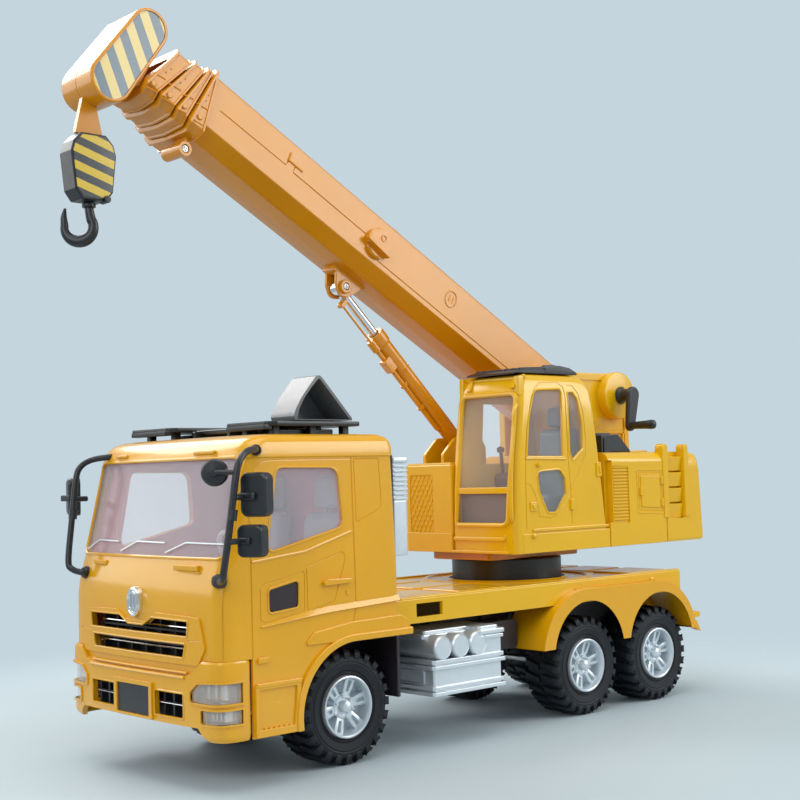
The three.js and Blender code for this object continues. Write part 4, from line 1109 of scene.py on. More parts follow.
def deck():
    side = rounded([(DECK_REAR, 80), (DECK_FRONT + 6, 80), (DECK_FRONT + 6, 90, 1),
                    (DECK_FRONT, DECK_TOP, 1), (DECK_REAR, DECK_TOP, 2)])
    tray = prism("Y", side, -DECK_HALF, DECK_HALF)
    hollow = block((DECK_REAR + 2.6, DECK_FRONT + 3), (-DECK_HALF + 2.6, DECK_HALF - 2.6),
                   (70, DECK_TOP - 3))
    notches = both(block((44, 67), (60, 90), (84.0, 92.4)))
    tray = bevelled(cut(tray, hollow), 0.6, 2, 40)
    tray = cut(tray, notches)
    ring = lathe("Z", (SLEW_X, 0, 0), [(43.5, DECK_TOP - 0.8), (62, DECK_TOP - 0.8), (62, DECK_TOP + 1.4),
                                       (60, DECK_TOP + 1.4), (59, DECK_TOP + 0.2), (46, DECK_TOP + 0.2),
                                       (45, DECK_TOP + 1.2), (43.5, DECK_TOP + 1.2)], 56)
    parts = [tray, ring]
    for x0, x1 in ((-203, -160), (-26, 20), (28, 76)):
        for y0, y1 in ((-63, -24), (-18, 18), (24, 63)):
            outline = rounded([(x0, y0), (x1, y0), (x1, y1), (x0, y1)], 3)
            parts.append(bevelled(prism("Z", outline, DECK_TOP - 1, DECK_TOP + 1.1), 0.4, 1, 50))
    edge = [beam((DECK_REAR + 1, DECK_FRONT - 2), (DECK_HALF - 4.5, DECK_HALF - 0.2),
                 (DECK_TOP - 1, DECK_TOP + 1.2), 0.5)]
    edge.append(beam((DECK_REAR - 1.6, DECK_REAR + 1), (28, 66), (83, 92), 0.6))
    edge.append(lathe("Y", (-176, 0, 90),
                      [(0.01, DECK_HALF - 1), (2.4, DECK_HALF - 1), (2.4, DECK_HALF + 0.9),
                       (1.6, DECK_HALF + 1.2), (0.01, DECK_HALF + 0.6)], 16))
    tail = rounded([(DECK_REAR + 4, 90), (DECK_REAR - 0.5, 90, 1), (DECK_REAR - 1.5, 74, 2),
                    (DECK_REAR - 23.6, 62, 1), (DECK_REAR - 23.6, 57.6, 1), (DECK_REAR - 4, 60),
                    (DECK_REAR + 4, 74)])
    parts.append(both(merged(*edge)))
    parts.append(bevelled(prism("Y", tail, -37, 37), 0.5, 2, 50))
    parts.append(beam((DECK_REAR - 24, DECK_REAR - 15), (-70, 70), (57.5, 62), 0.7))
    slots = [beam((DECK_REAR - 21, DECK_REAR - 17), (y, y + 9), (61, 63), 0.3, 1)
             for y in range(-63, 60, 13)]
    return merged(*parts, *slots)


def fender_band(radius, z0, low):
    """The outline over both rear wheels: round at each end and straight between."""
    front, back = AXLES["middle"] + 7, AXLES["rear"] + 6
    right = arc(front, z0, radius, 0, 90, 18)
    left = arc(back, z0, radius, 90, 180, 18)
    return [(right[0][0], low)] + right + left + [(left[-1][0], low)]


def fender():
    z0, inner, outer, low = 43.5, 38.2, 46.4, 51.0
    solid = prism("Y", fender_band(outer, z0, low), 38, 76)
    solid = bevelled(solid, 6.0, 6, 50)
    for x in (AXLES["middle"], AXLES["rear"]):
        solid = cut(solid, rod((x + 4, 30, z0), (x + 4, 80, z0), inner, 64))
    solid = cut(solid, block((-240, -40), (30, 80), (0, low)))
    solid = cut(solid, prism("Y", fender_band(outer - 3, z0, 48), 36, 73.4))
    skin = cut(solid, block((-240, -30), (30, 70.2), (79.4, 130)))
    teeth = [beam((x, x + 1.6), (70.2, 71.6), (z0 + outer - 0.6, z0 + outer + 0.5), 0.2, 1)
             for x in range(-176, -108, 3)]
    pad = beam((-110, -86), (70.2, 72), (z0 + outer - 1.6, z0 + outer + 0.3), 0.3, 1)
    tail = AXLES["rear"] + 6 - outer
    flap = [(tail + 0.4, low + 6), (tail - 5.5, low - 3.5), (tail - 1, low - 2), (tail + 2.4, low)]
    flap = prism("Y", rounded(flap, 0.4), 71, 75.6)
    return merged(skin, *teeth, pad, bevelled(flap, 0.4, 1))


def frame_gear():
    """Black brackets and panels along the frame, and the plate behind each front wheel."""
    parts = [beam((82, 84.5), (34.5, 70), (36, 82), 0.5, 1)]
    parts.append(beam((78, 96), (34.5, 60), (76, 81), 0.5, 1))
    parts.append(bevelled(prism("Y", rounded([(-45, 52), (-12, 52), (-12, 72), (-45, 72)], 3), 34.2, 52),
                          0.8, 2))
    parts += [beam((x - 5, x + 5), (34, 36.6), (54, 76), 0.4, 1) for x in (-30, 20, 70, -65)]
    parts += [lathe("Y", (x, 0, z), [(0.01, 33.8), (2.2, 33.8), (2.2, 35.4), (0.01, 35.8)], 12)
              for x in (-50, -40, 84) for z in (58, 70)]
    return both(merged(*parts))


def ring_gear():
    """The black drum of the turntable."""
    section = [(30, 95.9), (40.4, 95.9), (40.8, 96.4), (40.8, 110.6), (40.2, 111.2), (30, 111.2)]
    return lathe("Z", (SLEW_X, 0, 0), section, 72)


def truck_frame():
    piece("deck_panelled", "truck", YELLOW_WITH_PAINTED_LIGHT, deck(), ("deck",))
    guard = fender()
    piece("fender_left_guard", "truck", YELLOW, guard, ("fender_left",))
    piece("fender_right_guard", "truck", YELLOW, mirrored(guard), ("fender_right",))
    piece("frame_brackets", "truck", SATIN_BLACK, frame_gear())
    piece("turntable_drum", "truck", BLACK, ring_gear(), ("turntable_ring",))


front_end()
truck_gear()
truck_frame()


# ---------------------------------------------------------------- crane cab
UPPER_FLOOR, UPPER_FRONT, HOOD_FRONT, HOOD_REAR, UPPER_REAR = 117.3, -33.0, -135.0, -204.0, -256.4
HOOD_TOP, UPPER_HALF, UPPER_TOP, CRANE_HALF = 187.2, 65.0, 181.0, 64.5
# Height, how far the front stands back, how far the sides lean in and how far the rear stands forward.
CRANE_LEVELS = [(117.4, 0, 0, 0), (134, 0, 0, 2.0), (160, 0.8, 0, 5.0), (185, 2.6, 0.2, 7.9),
                (205, 5.0, 0.5, 10.2), (222, 7.6, 1.0, 12.2), (232, 9.6, 1.8, 14.0),
                (238.5, 12.0, 3.4, 17.0), (242.4, 15.5, 6.2, 21.0), (244, 21, 11, 27)]


def crane_front(y, z):
    """The crane cab's front face; it bows a little towards its sides."""
    return UPPER_FRONT - between(CRANE_LEVELS, z, 1) - 0.0009 * (y - 33) ** 2


def crane_side(z):
    return CRANE_HALF - between(CRANE_LEVELS, z, 2)


def crane_form(inset=0.0):
    rings = []
    for i, (z, front, lean, rear) in enumerate(CRANE_LEVELS):
        x0, x1 = HOOD_FRONT + 0.3 + rear + inset, UPPER_FRONT - front - inset
        y0, y1 = 3.0 + inset, CRANE_HALF - lean - inset
        bow = 0.9
        corners = [(x1 - bow, y0, 1.5), (x1 - 0.2, y0 + 15, 0), (x1, (y0 + y1) / 2, 0),
                   (x1 - 0.3, y1 - 14, 0), (x1 - bow - 0.6, y1, 6), (x0, y1, 4), (x0, y0, 1.5)]
        drop = inset * i / (len(CRANE_LEVELS) - 1)
        rings.append([(x, y, z - drop + (inset if i == 0 else 0)) for x, y in rounded(corners, steps=4)])
    return loft(rings)


FRONT_PANE = rounded([(6.4, 137.5, 3), (57, 137.5, 5), (58.5, 160, 20), (60.5, 229.5, 5), (8.4, 229.5, 3)])
DOOR_PANE = rounded([(-46.6, 184.6, 1), (-50.5, 212, 20), (-58.0, 232, 6), (-87.6, 233.5, 3),
                     (-85.6, 184.2, 1)])
REAR_PANE = rounded([(-99.5, 231.5, 2), (-93.8, 231.5, 1.5), (-92.4, 188, 2), (-95.5, 181.5, 1),
                     (-107.6, 190, 2), (-108.2, 208, 12), (-104.4, 226, 5)])
LOW_PANE = rounded([(-56.5, 174.6, 4), (-81.5, 175.8, 6), (-87.0, 169, 3), (-87.6, 158, 3), (-77, 144.8, 4),
                    (-67, 144.8, 3), (-58.4, 160, 12)])


def on_crane_side(points, proud=0.0):
    return [(x, crane_side(z) + proud, z) for x, z in points]


def on_crane_front(points, proud=0.0):
    return [(crane_front(y, z) + proud, y, z) for y, z in points]


def crane_cab_shell():
    body = cut(crane_form(), crane_form(2.3))
    for opening in (prism("X", FRONT_PANE, -62, -20), prism("Y", DOOR_PANE, 40, 80),
                    prism("Y", REAR_PANE, 40, 80), prism("Y", LOW_PANE, 40, 80),
                    block((-125, -45), (12, 56), (110, 121)),
                    prism("Y", [(-60, 150), (-110, 150), (-110, 225), (-66, 225)], -4, 10)):
        body = cut(body, opening)
    door = [(-44.5, 134.5), (-44.8, 165), (-45.6, 184), (-48.5, 205), (-54.5, 226), (-59.5, 233.5),
            (-66, 237.2), (-84, 237.8), (-89.6, 235), (-91, 228), (-90.6, 186), (-92.3, 158), (-92.8, 136)]
    lines = [tube(on_crane_side(door, 0.1), 0.6, 6)]
    low = [(-47, 183.0), (-88.4, 182.2)]
    lines.append(tube(on_crane_side(low, 0.1), 0.5, 6))
    rear = [(-94, 236), (-100, 236), (-105.5, 230), (-109.5, 216), (-110.8, 200), (-111, 188), (-106, 180),
            (-92.6, 160)]
    lines.append(tube(on_crane_side(rear, 0.1), 0.55, 6))
    flap = [(-45.5, 166), (-50, 164.5), (-54.5, 158), (-57.5, 147), (-58, 142.5), (-70, 141), (-78, 143.5),
            (-92, 158.5)]
    lines.append(tube(on_crane_side(flap, 0.1), 0.5, 6))
    return cut(body, *lines)


def crane_cab_trim():
    parts = []
    parts.append(tube(on_crane_front(FRONT_PANE, 0.3), 1.7, 10, closed=True))
    parts.append(beam((-37.4, -33.4), (9, 58.4), (159.4, 164.0), 0.7))
    rail = smooth_path([(-40.5, 62.2, 221), (-36.5, 63.4, 217), (-35.6, 63.2, 205), (-32.6, 62.8, 180),
                        (-31.6, 62.4, 155), (-32.4, 61.8, 145), (-34.6, 60.0, 141)], 5)
    parts.append(tube(rail, 1.5, 10))
    parts.append(beam((-34.6, -31.6), (4.5, 55), (126.4, 129.2), 0.8))
    parts.append(beam((-36, -31.6), (2.8, 58), (117.5, 119.5), 0.5))
    for y in (12, 55):
        parts.append(bevelled(loft([[(-44.5, y + w, 232.5), (-41.0, y + w, 233.5), (-45.5, y + w, 241)]
                                    for w in (0, 4)]), 0.4, 1))
    parts.append(tube([(-52, 6, 242.6), (-47.8, 6, 240.6), (-47.8, 58, 240.4), (-52, 60, 242.0)], 1.4, 8))
    parts.append(beam((-49, -43.2), (3.2, 7.6), (228, 242.6), 0.8))
    parts.append(beam((-49, -43.0), (57.6, 62.0), (228, 241.6), 0.8))
    for pane in (DOOR_PANE, REAR_PANE, LOW_PANE):
        parts.append(tube(on_crane_side(pane, -0.1), 0.8, 8, closed=True))
    parts.append(tube([(-45.6, crane_side(183.6) - 0.1, 183.6), (-88, crane_side(183.6) - 0.1, 182.8)], 0.9,
                      8))
    parts.append(beam((-132.5, -50.5), (63.6, 65.6), (132.2, 134.4), 0.5))
    parts.append(slab("Z", [(-39, 20), (-33.2, 55, 4), (-39.2, 65.4, 6), (-134.4, 65.4, 1), (-134.4, 20)],
                      117.4, 131.0, 0.6, 2, 50))
    parts.append(lathe("Y", (-50.5, 0, 129.5),
                       [(0.01, 64), (2.0, 64), (2.0, 66.4), (1.2, 67.2), (0.01, 67.4)], 14))
    parts.append(lathe("Y", (-58.5, 0, 179.0),
                       [(0.01, 63), (1.7, 63), (1.7, 66.2), (1.0, 66.8), (0.01, 66.8)], 14))
    parts.append(beam((-55.5, -48.5), (63.6, 65.5), (146.6, 153.0), 0.6))
    parts.append(lathe("Y", (-52, 0, 150), [(0.01, 65), (1.7, 65), (1.7, 66.0), (0.9, 66.3), (0.01, 66.0)],
                       14))
    parts.append(beam((-94.6, -90.8), (63.4, 66.2), (146, 154), 0.7))
    handle = rounded([(-121.2, 169.5, 1), (-127, 169.5, 1), (-126, 180, 1), (-121.2, 180, 1)])
    parts.append(bevelled(prism("Y", handle, 63.2, 65.6), 0.5, 2))
    parts.append(beam((-125.4, -123.4), (64, 66.4), (172, 177.6), 0.5))
    return merged(*parts)


def crane_glass():
    shell = cut(crane_form(0.7), crane_form(1.9))
    return merged(common(shell, prism("X", FRONT_PANE, -70, -20)),
                  *[common(shell, prism("Y", pane, 40, 80)) for pane in (DOOR_PANE, REAR_PANE, LOW_PANE)])


def crane_inside():
    console = slab("Y", [(-74, 121), (-60, 121), (-56, 172, 4), (-64, 176, 4), (-74, 150, 5)], 22, 46, 2, 3)
    cushion = slab("Y", [(-118, 122), (-84, 122), (-80, 150, 6), (-84, 158, 6), (-118, 156)], 18, 50, 3, 3)
    back = slab("Y", [(-122, 150), (-106, 150), (-110, 206, 6), (-121, 206, 5)], 19, 49, 4, 4)
    head = slab("Y", [(-121, 207), (-111, 207), (-112, 222, 5), (-121, 222, 4)], 25, 43, 3, 3)
    knob = [(0.01, -2), (2.6, -1), (2.8, 2), (0.01, 3.4)]
    levers = [rod((-62, y, 172), (-60, y, 190), 1.3, 10) for y in (27, 41)]
    knobs = [lathe("Z", (-60, y, 190), knob, 14) for y in (27, 41)]
    return merged(console, *levers, *knobs), merged(cushion, back, head)


def roof_grate():
    """The black hatch on the crane cab's roof: a slatted front half and a bowed rear half."""
    base = prism("Y", [(-53, 244.2), (-50.5, 243.2, 1), (-50.8, 244.6, 1), (-60, 247.2), (-84, 247.8),
                       (-84, 244.4)], 10, 57)
    slots = [block((-80, -57), (y, y + 4.0), (245.2, 250)) for y in range(15, 52, 7)]
    front = bevelled(cut(base, *slots), 0.4, 1, 40)
    ribs = [slab("Y", [(-57, 245), (-59, 248.2, 1), (-82, 249.3, 1), (-84, 245)], y, y + 2, 0.4, 1)
            for y in range(12, 57, 7)]
    bow = [(-84, 244.4), (-84, 248.6), (-90, 250.2), (-100, 250.6), (-110, 249.4), (-117.5, 246.6),
           (-119.5, 244.9), (-118.8, 244.3)]
    rear = bevelled(prism("Y", bow, 10, 57), 0.7, 2, 25)
    hump = [(-88, 249), (-92, 251.4), (-101, 252.0), (-109, 250.6), (-112, 248.5)]
    ridges = [bevelled(prism("Y", hump, y, y + 3), 0.5, 2, 25) for y in (16, 47)]
    pins = [peg((-113, y, 245), (-113, y, 249.6), 2.0, 12, 0.4, 1) for y in (14, 53)]
    return shifted(merged(front, *ribs, rear, *ridges, *pins), x=6.5)


def crane_cab():
    body = "superstructure"
    piece("crane_cab_skin", body, YELLOW_WITH_PAINTED_LIGHT, crane_cab_shell(), ("crane_cab_shell",))
    piece("crane_cab_trim", body, YELLOW_WITH_PAINTED_LIGHT, crane_cab_trim())
    piece("crane_cab_windows", body, CRANE_CLEAR, crane_glass(), ("crane_cab_glazing",))
    console, seat = crane_inside()
    piece("crane_cab_seat", body, BLUE_GREY, seat, ("crane_seat",))
    low_panel = beam((-41.6, -39.8), (5.4, 59.4), (133, 160), 0.4, 1)
    piece("crane_cab_console", body, BROWN, merged(console, low_panel))
    piece("crane_roof_hatch", body, BLACK, roof_grate(), ("crane_roof_grate",))


# ---------------------------------------------------------------- upper body, hood and counterweight
def upper_body():
    plan = rounded([(UPPER_FRONT - 0.2, 2.4, 1), (UPPER_FRONT - 0.2, -46, 4),
                    (UPPER_FRONT - 20, -UPPER_HALF, 4), (HOOD_FRONT + 0.2, -UPPER_HALF, 1),
                    (HOOD_FRONT + 0.2, 2.4, 1)])
    body = bevelled(prism("Z", plan, UPPER_FLOOR + 0.2, UPPER_TOP), 1.0, 3, 50)
    body = cut(body, block((-122, -45), (-44, -10), (UPPER_FLOOR + 18, UPPER_TOP + 5)))
    window = rounded([(-42, 132, 2), (-17, 132, 2), (-17, 174, 2), (-42, 174, 2)])
    body = cut(body, prism("X", window, UPPER_FRONT - 0.9, UPPER_FRONT + 5))
    side_panel = rounded([(-62, 130, 3), (-128, 130, 3), (-128, 172, 3), (-62, 172, 3)])
    body = cut(body, tube([(x, -UPPER_HALF, z) for x, z in side_panel], 0.6, 6, closed=True))
    slats = [beam((-122, -68), (-UPPER_HALF - 0.9, -UPPER_HALF + 1), (z, z + 1.8), 0.3, 1)
             for z in range(136, 168, 4)]
    ear = rounded([(-89, 134), (-43.8, 134), (-43.8, 189, 3), (-57, 201.5, 7), (-84, 201.5, 7),
                   (-89, 194, 3)])
    ears = [bevelled(prism("Y", ear, -27 + side, -24 + side), 0.5, 2, 50) for side in (-11.2, 8.2)]
    brow = beam((UPPER_FRONT - 8, UPPER_FRONT - 0.8), (-44, 1.5), (UPPER_TOP - 1, UPPER_TOP + 1.6), 0.8)
    skirt = slab("Z", [(UPPER_FRONT + 0.8, 2.6), (UPPER_FRONT + 0.8, -45, 4), (UPPER_FRONT - 10, -56),
                       (UPPER_FRONT - 30, -40), (UPPER_FRONT - 30, 2.6)], 117.5, 131.4, 0.6, 2, 50)
    pin = lathe("Y", (-77, 0, 190), [(0.01, -15.6), (4.6, -15.6), (4.6, -14.4), (3.6, -13.6),
                                     (0.01, -13.6)], 20)
    return merged(body, *slats, *ears, brow, skirt, pin)


def lattice():
    """Crossed thin bars inside the front panel."""
    low, high, left, right = 131.5, 174.5, -42.5, -16.6
    x, lean = UPPER_FRONT - 0.8, 0.62 * (high - low)
    window = block((UPPER_FRONT - 4, UPPER_FRONT + 4), (left, right), (low, high))
    bars = []
    for y in (left + 4.6 * k for k in range(-9, 9)):
        if y + lean > left + 1 and y < right - 1:
            bars += [rod((x, foot, low), (x, head, high), 0.5, 6)
                     for foot, head in ((y, y + lean), (y + lean, y))]
    return [common(bar, window) for bar in bars]


def hood():
    section = rounded([(-UPPER_HALF, UPPER_FLOOR), (UPPER_HALF, UPPER_FLOOR), (UPPER_HALF, HOOD_TOP, 8),
                       (-UPPER_HALF, HOOD_TOP, 8)], steps=6)
    body = bevelled(prism("X", section, HOOD_REAR + 0.4, HOOD_FRONT - 0.4), 0.6, 2, 50)
    gap = both(block((HOOD_FRONT - 4.0, HOOD_FRONT + 2), (UPPER_HALF - 5, UPPER_HALF + 5), (135, 181)))
    hatch = rounded([(-170.5, 143, 1), (-197.5, 141.5, 1), (-197.5, 171, 1), (-170, 171.5, 1)])
    ring = both(tube([(x, UPPER_HALF + 0.1, z) for x, z in hatch], 0.5, 6, closed=True))
    vent = rounded([(-139.8, 135, 1), (-158.6, 134, 1), (-158.2, 176.5, 1), (-139.4, 177, 1)])
    vents = both(prism("Y", vent, UPPER_HALF - 1.2, UPPER_HALF + 3))
    body = cut(cut(cut(body, gap), ring), vents)
    details = [beam((-158.0, -140.4), (UPPER_HALF - 2, UPPER_HALF - 0.1), (z, z + 1.5), 0.35, 1)
               for z in (136.4 + 2.42 * k for k in range(17))]
    panel = rounded([(-172.5, 145.5, 1), (-195.5, 144, 1), (-195.5, 168.6, 1), (-172, 169, 1)])
    details.append(bevelled(prism("Y", panel, UPPER_HALF - 1, UPPER_HALF + 0.9), 0.5, 2))
    trim = rounded([(-168.4, 141, 1), (-199.4, 139.5, 1), (-199.4, 173, 1), (-168, 173.6, 1)])
    details.append(tube([(x, UPPER_HALF, z) for x, z in trim], 0.45, 6, closed=True))
    details += [peg((-197.6, UPPER_HALF + 0.6, z), (-197.6, UPPER_HALF + 0.6, z + 6), 1.5, 12, 0.4, 1)
                for z in (145, 162)]
    details.append(beam((-173.6, -170.6), (UPPER_HALF - 0.5, UPPER_HALF + 1.8), (154, 160), 0.5))
    top = [beam((-198, -176), (y, y + 3), (HOOD_TOP - 1, HOOD_TOP + 1.2), 0.4, 1) for y in range(20, 52, 6)]
    return merged(body, both(merged(*details)), *top)


def counterweight():
    def ring(z, rear, inset):
        back = UPPER_REAR - 3 + rear
        outline = [(HOOD_REAR - 0.4, -UPPER_HALF + inset, 0.5), (HOOD_REAR - 0.4, UPPER_HALF - inset, 0.5),
                   (back + 8, UPPER_HALF - inset, 6), (back, UPPER_HALF - 16 - inset, 8),
                   (back, -UPPER_HALF + 16 + inset, 8), (back + 8, -UPPER_HALF + inset, 6)]
        return [(x, y, z) for x, y in rounded(outline, steps=5)]
    levels = [(117.4, 1.6, 0.8), (118.4, 0.4, 0.1), (120, 0, 0), (150, 1.4, 0), (172, 2.6, 0),
              (181, 3.8, 0.6), (184.8, 6.2, 2.2), (186.6, 9.6, 4.8), (187.2, 14.6, 8.6)]
    body = loft([ring(*level) for level in levels])
    recess = both(prism("Y", rounded([(-206.6, 136, 1), (-227.6, 135, 1), (-227.6, 200), (-206.6, 200)]),
                        UPPER_HALF - 6.5, UPPER_HALF + 6))
    body = cut(body, recess)
    side = []
    for k in range(4):
        z = 140.8 + 12.2 * k
        wedge = [(UPPER_HALF - 7.5, z - 5.6), (UPPER_HALF - 2.9, z - 5.5), (UPPER_HALF - 1.4, z + 4.6),
                 (UPPER_HALF - 1.4, z + 5.6), (UPPER_HALF - 7.5, z + 5.6)]
        side.append(bevelled(prism("X", wedge, -227.4, -206.8), 0.4, 1, 40))
    for x0, x1 in ((-206.8, -200.2), (-233.0, -227.2)):
        plate = [(x0, 136), (x1, 136)] + arc((x0 + x1) / 2, 189.0, (x1 - x0) / 2, 0, 180, 8, tall=1.3)
        side.append(bevelled(prism("Y", plate, UPPER_HALF - 7, UPPER_HALF + 0.9), 0.7, 2, 50))
    rear = [beam((UPPER_REAR - 3.0, UPPER_REAR + 3), (-40, 40), (z, z + 3), 0.6) for z in (128, 136)]
    for y in (-30, 30):
        rear.append(lathe("X", (0, y, 156),
                          [(0.01, UPPER_REAR + 1), (5, UPPER_REAR + 1), (5, UPPER_REAR - 2.4),
                           (4, UPPER_REAR - 3), (0.01, UPPER_REAR - 2.6)], 24))
    return merged(body, both(merged(*side)), *rear)


def engine_box():
    outline = rounded([(-136.8, HOOD_TOP + 0.2), (-136.8, 200.4, 1), (-157, 201, 2), (-171, 188.6, 2),
                       (-172, HOOD_TOP + 0.2)])
    body = bevelled(prism("Y", outline, 18, 54), 0.9, 2, 25)
    ribs = [beam((-156, -139), (y, y + 2.4), (199.5, 202.2), 0.5) for y in (24, 31, 38, 45)]
    side = slab("Y", [(-139, 187, 1), (-139, 198, 1), (-156, 198.6, 1), (-167, 188.4, 1)], 53, 54.8, 0.4, 1)
    pipe = tube(smooth_path([(-145, 30, 201), (-145, 30, 207), (-149, 30, 210), (-156, 30, 210.5)], 4), 2.2,
                12)
    return shifted(merged(body, *ribs, side, pipe), x=-4.5)


# ---------------------------------------------------------------- boom tower and winch
PIVOT = Vector((-190, -27, 214))
WINCH_X, WINCH_Z = -218.0, 234.0


def tower():
    side = rounded([(-236.5, HOOD_TOP + 0.3), (-150, HOOD_TOP + 0.3), (-150, 244, 10), (-168, 252, 8),
                    (-236.5, 252.4, 19)], steps=7)
    field = rounded([(-231, HOOD_TOP + 5, 2), (-156, HOOD_TOP + 5, 2), (-156, 240, 8), (-170, 246.4, 6),
                     (-231, 247, 14)], steps=6)
    near = cut(bevelled(prism("Y", side, -1, 5.4), 0.9, 3, 50), prism("Y", field, 4.2, 9))
    far = cut(bevelled(prism("Y", side, -59.4, -53), 0.9, 3, 50), prism("Y", field, -64, -58.2))
    boss = lathe("Y", (WINCH_X, 0, WINCH_Z), [(3.4, 3), (19.3, 3), (19.3, 10.6), (18.6, 12.0), (17.2, 12.6),
                                              (3.4, 12.6)], 56)
    far_boss = lathe("Y", (WINCH_X, 0, WINCH_Z),
                     [(0.01, -58), (12, -58), (12, -61), (11, -62), (0.01, -62)], 40)
    shelf = beam((-231, -156), (4, 6.0), (203.4, 205.6), 0.5, 1)
    bar = beam((-229.5, -227.5), (4, 6), (188, 206), 0.4, 1)
    floor = beam((-236, -155), (-59, 5), (HOOD_TOP + 0.3, HOOD_TOP + 3.4), 0.6)
    rear = beam((-236.5, -233.3), (-59, 5), (HOOD_TOP + 0.3, 226), 0.6)
    pin = rod((PIVOT.x, -59, PIVOT.z), (PIVOT.x, 5, PIVOT.z), 4.2, 24)
    caps = [lathe("Y", (PIVOT.x, 0, PIVOT.z), [(0.01, y), (7.5, y), (7.5, y + 1.0 * s), (6.6, y + 1.8 * s),
                                               (0.01, y + 1.8 * s)], 32)
            for y, s in ((4.2, 1), (-58.2, -1))]
    return merged(near, far, boss, far_boss, shelf, bar, floor, rear, pin, *caps)


def crank():
    """A hub, a flat straight arm and a round handle."""
    end_x, end_z = WINCH_X + 4.5, WINCH_Z - 25
    hub = lathe("Y", (WINCH_X, 0, WINCH_Z), [(3.3, 12.9), (7.0, 12.9), (7.0, 14.0), (6.0, 15.2),
                                             (5.2, 16.2), (5.2, 23.4), (0.01, 23.4), (0.01, 21.5),
                                             (3.3, 21.5)], 36)
    lean = math.degrees(math.atan2(end_z - WINCH_Z, end_x - WINCH_X))
    outline = arc(WINCH_X, WINCH_Z, 6.4, lean + 90, lean + 270, 12)
    outline += arc(end_x, end_z, 4.4, lean - 90, lean + 90, 12)
    arm = bevelled(prism("Y", outline, 22.6, 27.0), 1.2, 3, 50)
    grip = lathe("Y", (end_x, 0, end_z), [(0.01, 25.5), (3.2, 25.5), (3.2, 28.4), (2.9, 29.4), (3.4, 42),
                                          (3.8, 46), (3.4, 48.4), (2.0, 49.4), (0.01, 49.6)], 28)
    return merged(hub, arm, grip)


def superstructure():
    body = "superstructure"
    piece("upper_body_block", body, YELLOW_WITH_PAINTED_LIGHT, upper_body(), ("upper_body",))
    flange = rounded([(-43, -32, 6), (-43, 32, 6), (-139, 32, 6), (-139, -32, 6)])
    flange = bevelled(prism("Z", flange, 111.6, 117.4), 0.8, 2, 50)
    piece("swing_plate_flange", body, ORANGE, flange, ("swing_plate",))
    piece("front_lattice", body, YELLOW_WITH_PAINTED_LIGHT, merged(*lattice()))
    piece("engine_hood_panelled", body, YELLOW_WITH_PAINTED_LIGHT, hood(), ("engine_hood",))
    piece("counterweight_stepped", body, YELLOW_WITH_PAINTED_LIGHT, counterweight(), ("counterweight",))
    piece("engine_box_ribbed", body, BLACK, engine_box(), ("engine_box",))
    piece("boom_tower_cheeks", body, YELLOW_WITH_PAINTED_LIGHT, tower(), ("boom_tower",))
    piece("crank_cast", "winch", BLACK, crank(), ("crank_handle",))


crane_cab()
superstructure()


# ---------------------------------------------------------------- boom: s along, t across, n up
BOOM_RISE = math.radians(29)
BOOM_HALF, BOOM_UP = 25.0, 23.0
BOOM = Matrix.Translation(PIVOT) @ Matrix.Rotation(-BOOM_RISE, 4, "Y")
# Name, body, CAD node, shrink, wall, tail, collar shrink.
STAGES = [
    ("boom_outer_tube", "boom", "boom_outer", 0.0, 2.4, 26.0, -1.6),
    ("boom_stage_2", "stage_2", "boom_section_2", 2.8, 1.8, 60.0, 0.2),
    ("boom_stage_3", "stage_3", "boom_section_3", 5.0, 1.8, 75.0, 1.6),
    ("boom_stage_4", "stage_4", "boom_tip", 7.2, 1.8, 90.0, 3.0),
]
# Each collar's front edge as (s, n) from its top down, and the back edge of the outermost.
FRONTS = [
    [(415.8, 18.5), (419.3, -6), (418.4, -17), (415, -24)],
    [(421.0, 17.5), (429.3, -7.5), (427.8, -18), (424, -24)],
    [(430.2, 15.5), (442.0, -9), (440.4, -18), (436, -22.5)],
    [(443.4, 13), (453.4, -10.5), (451.2, -18), (447.4, -22)],
]
OUTER_BACK = [(413.7, 16.4), (409.4, 4.1), (406.5, -9.1), (405.2, -22.1)]


def section(shrink, rise, inward, lift, turn, belly):
    """Flat sides down to a bevel, then a bowed belly. turn and belly are the radii of the two bends."""
    w, up, low = BOOM_HALF - shrink, BOOM_UP - shrink, shrink - BOOM_UP
    return rounded([(w, low + rise, 1.2), (w, up - 3.6, 1.6), (w - 4.2, up, 1.6), (4.2 - w, up, 1.6),
                    (-w, up - 3.6, 1.6), (-w, low + rise, 1.2), (inward - w, low + lift, turn),
                    (0, low, belly), (w - inward, low + lift, turn)])


def boom_section(shrink):
    return section(shrink, 10, 11, 2.2, 7, 30)


def collar_section(shrink):
    """The collars' sides reach lower than the tubes' and turn under with a small bevel."""
    return section(shrink, 6.5, 5, 1.6, 3, 40)


def along_edge(edge, n):
    """Where an edge given as (s, n) points, from its top down, crosses height n."""
    if n >= edge[0][1]:
        return edge[0][0]
    for (s0, n0), (s1, n1) in zip(edge, edge[1:]):
        if n >= n1:
            return s0 + (s1 - s0) * (n0 - n) / (n0 - n1)
    return edge[-1][0]


def collar_back(stage, n):
    return along_edge(OUTER_BACK, n) if stage == 0 else along_edge(FRONTS[stage - 1], n) + 1.2


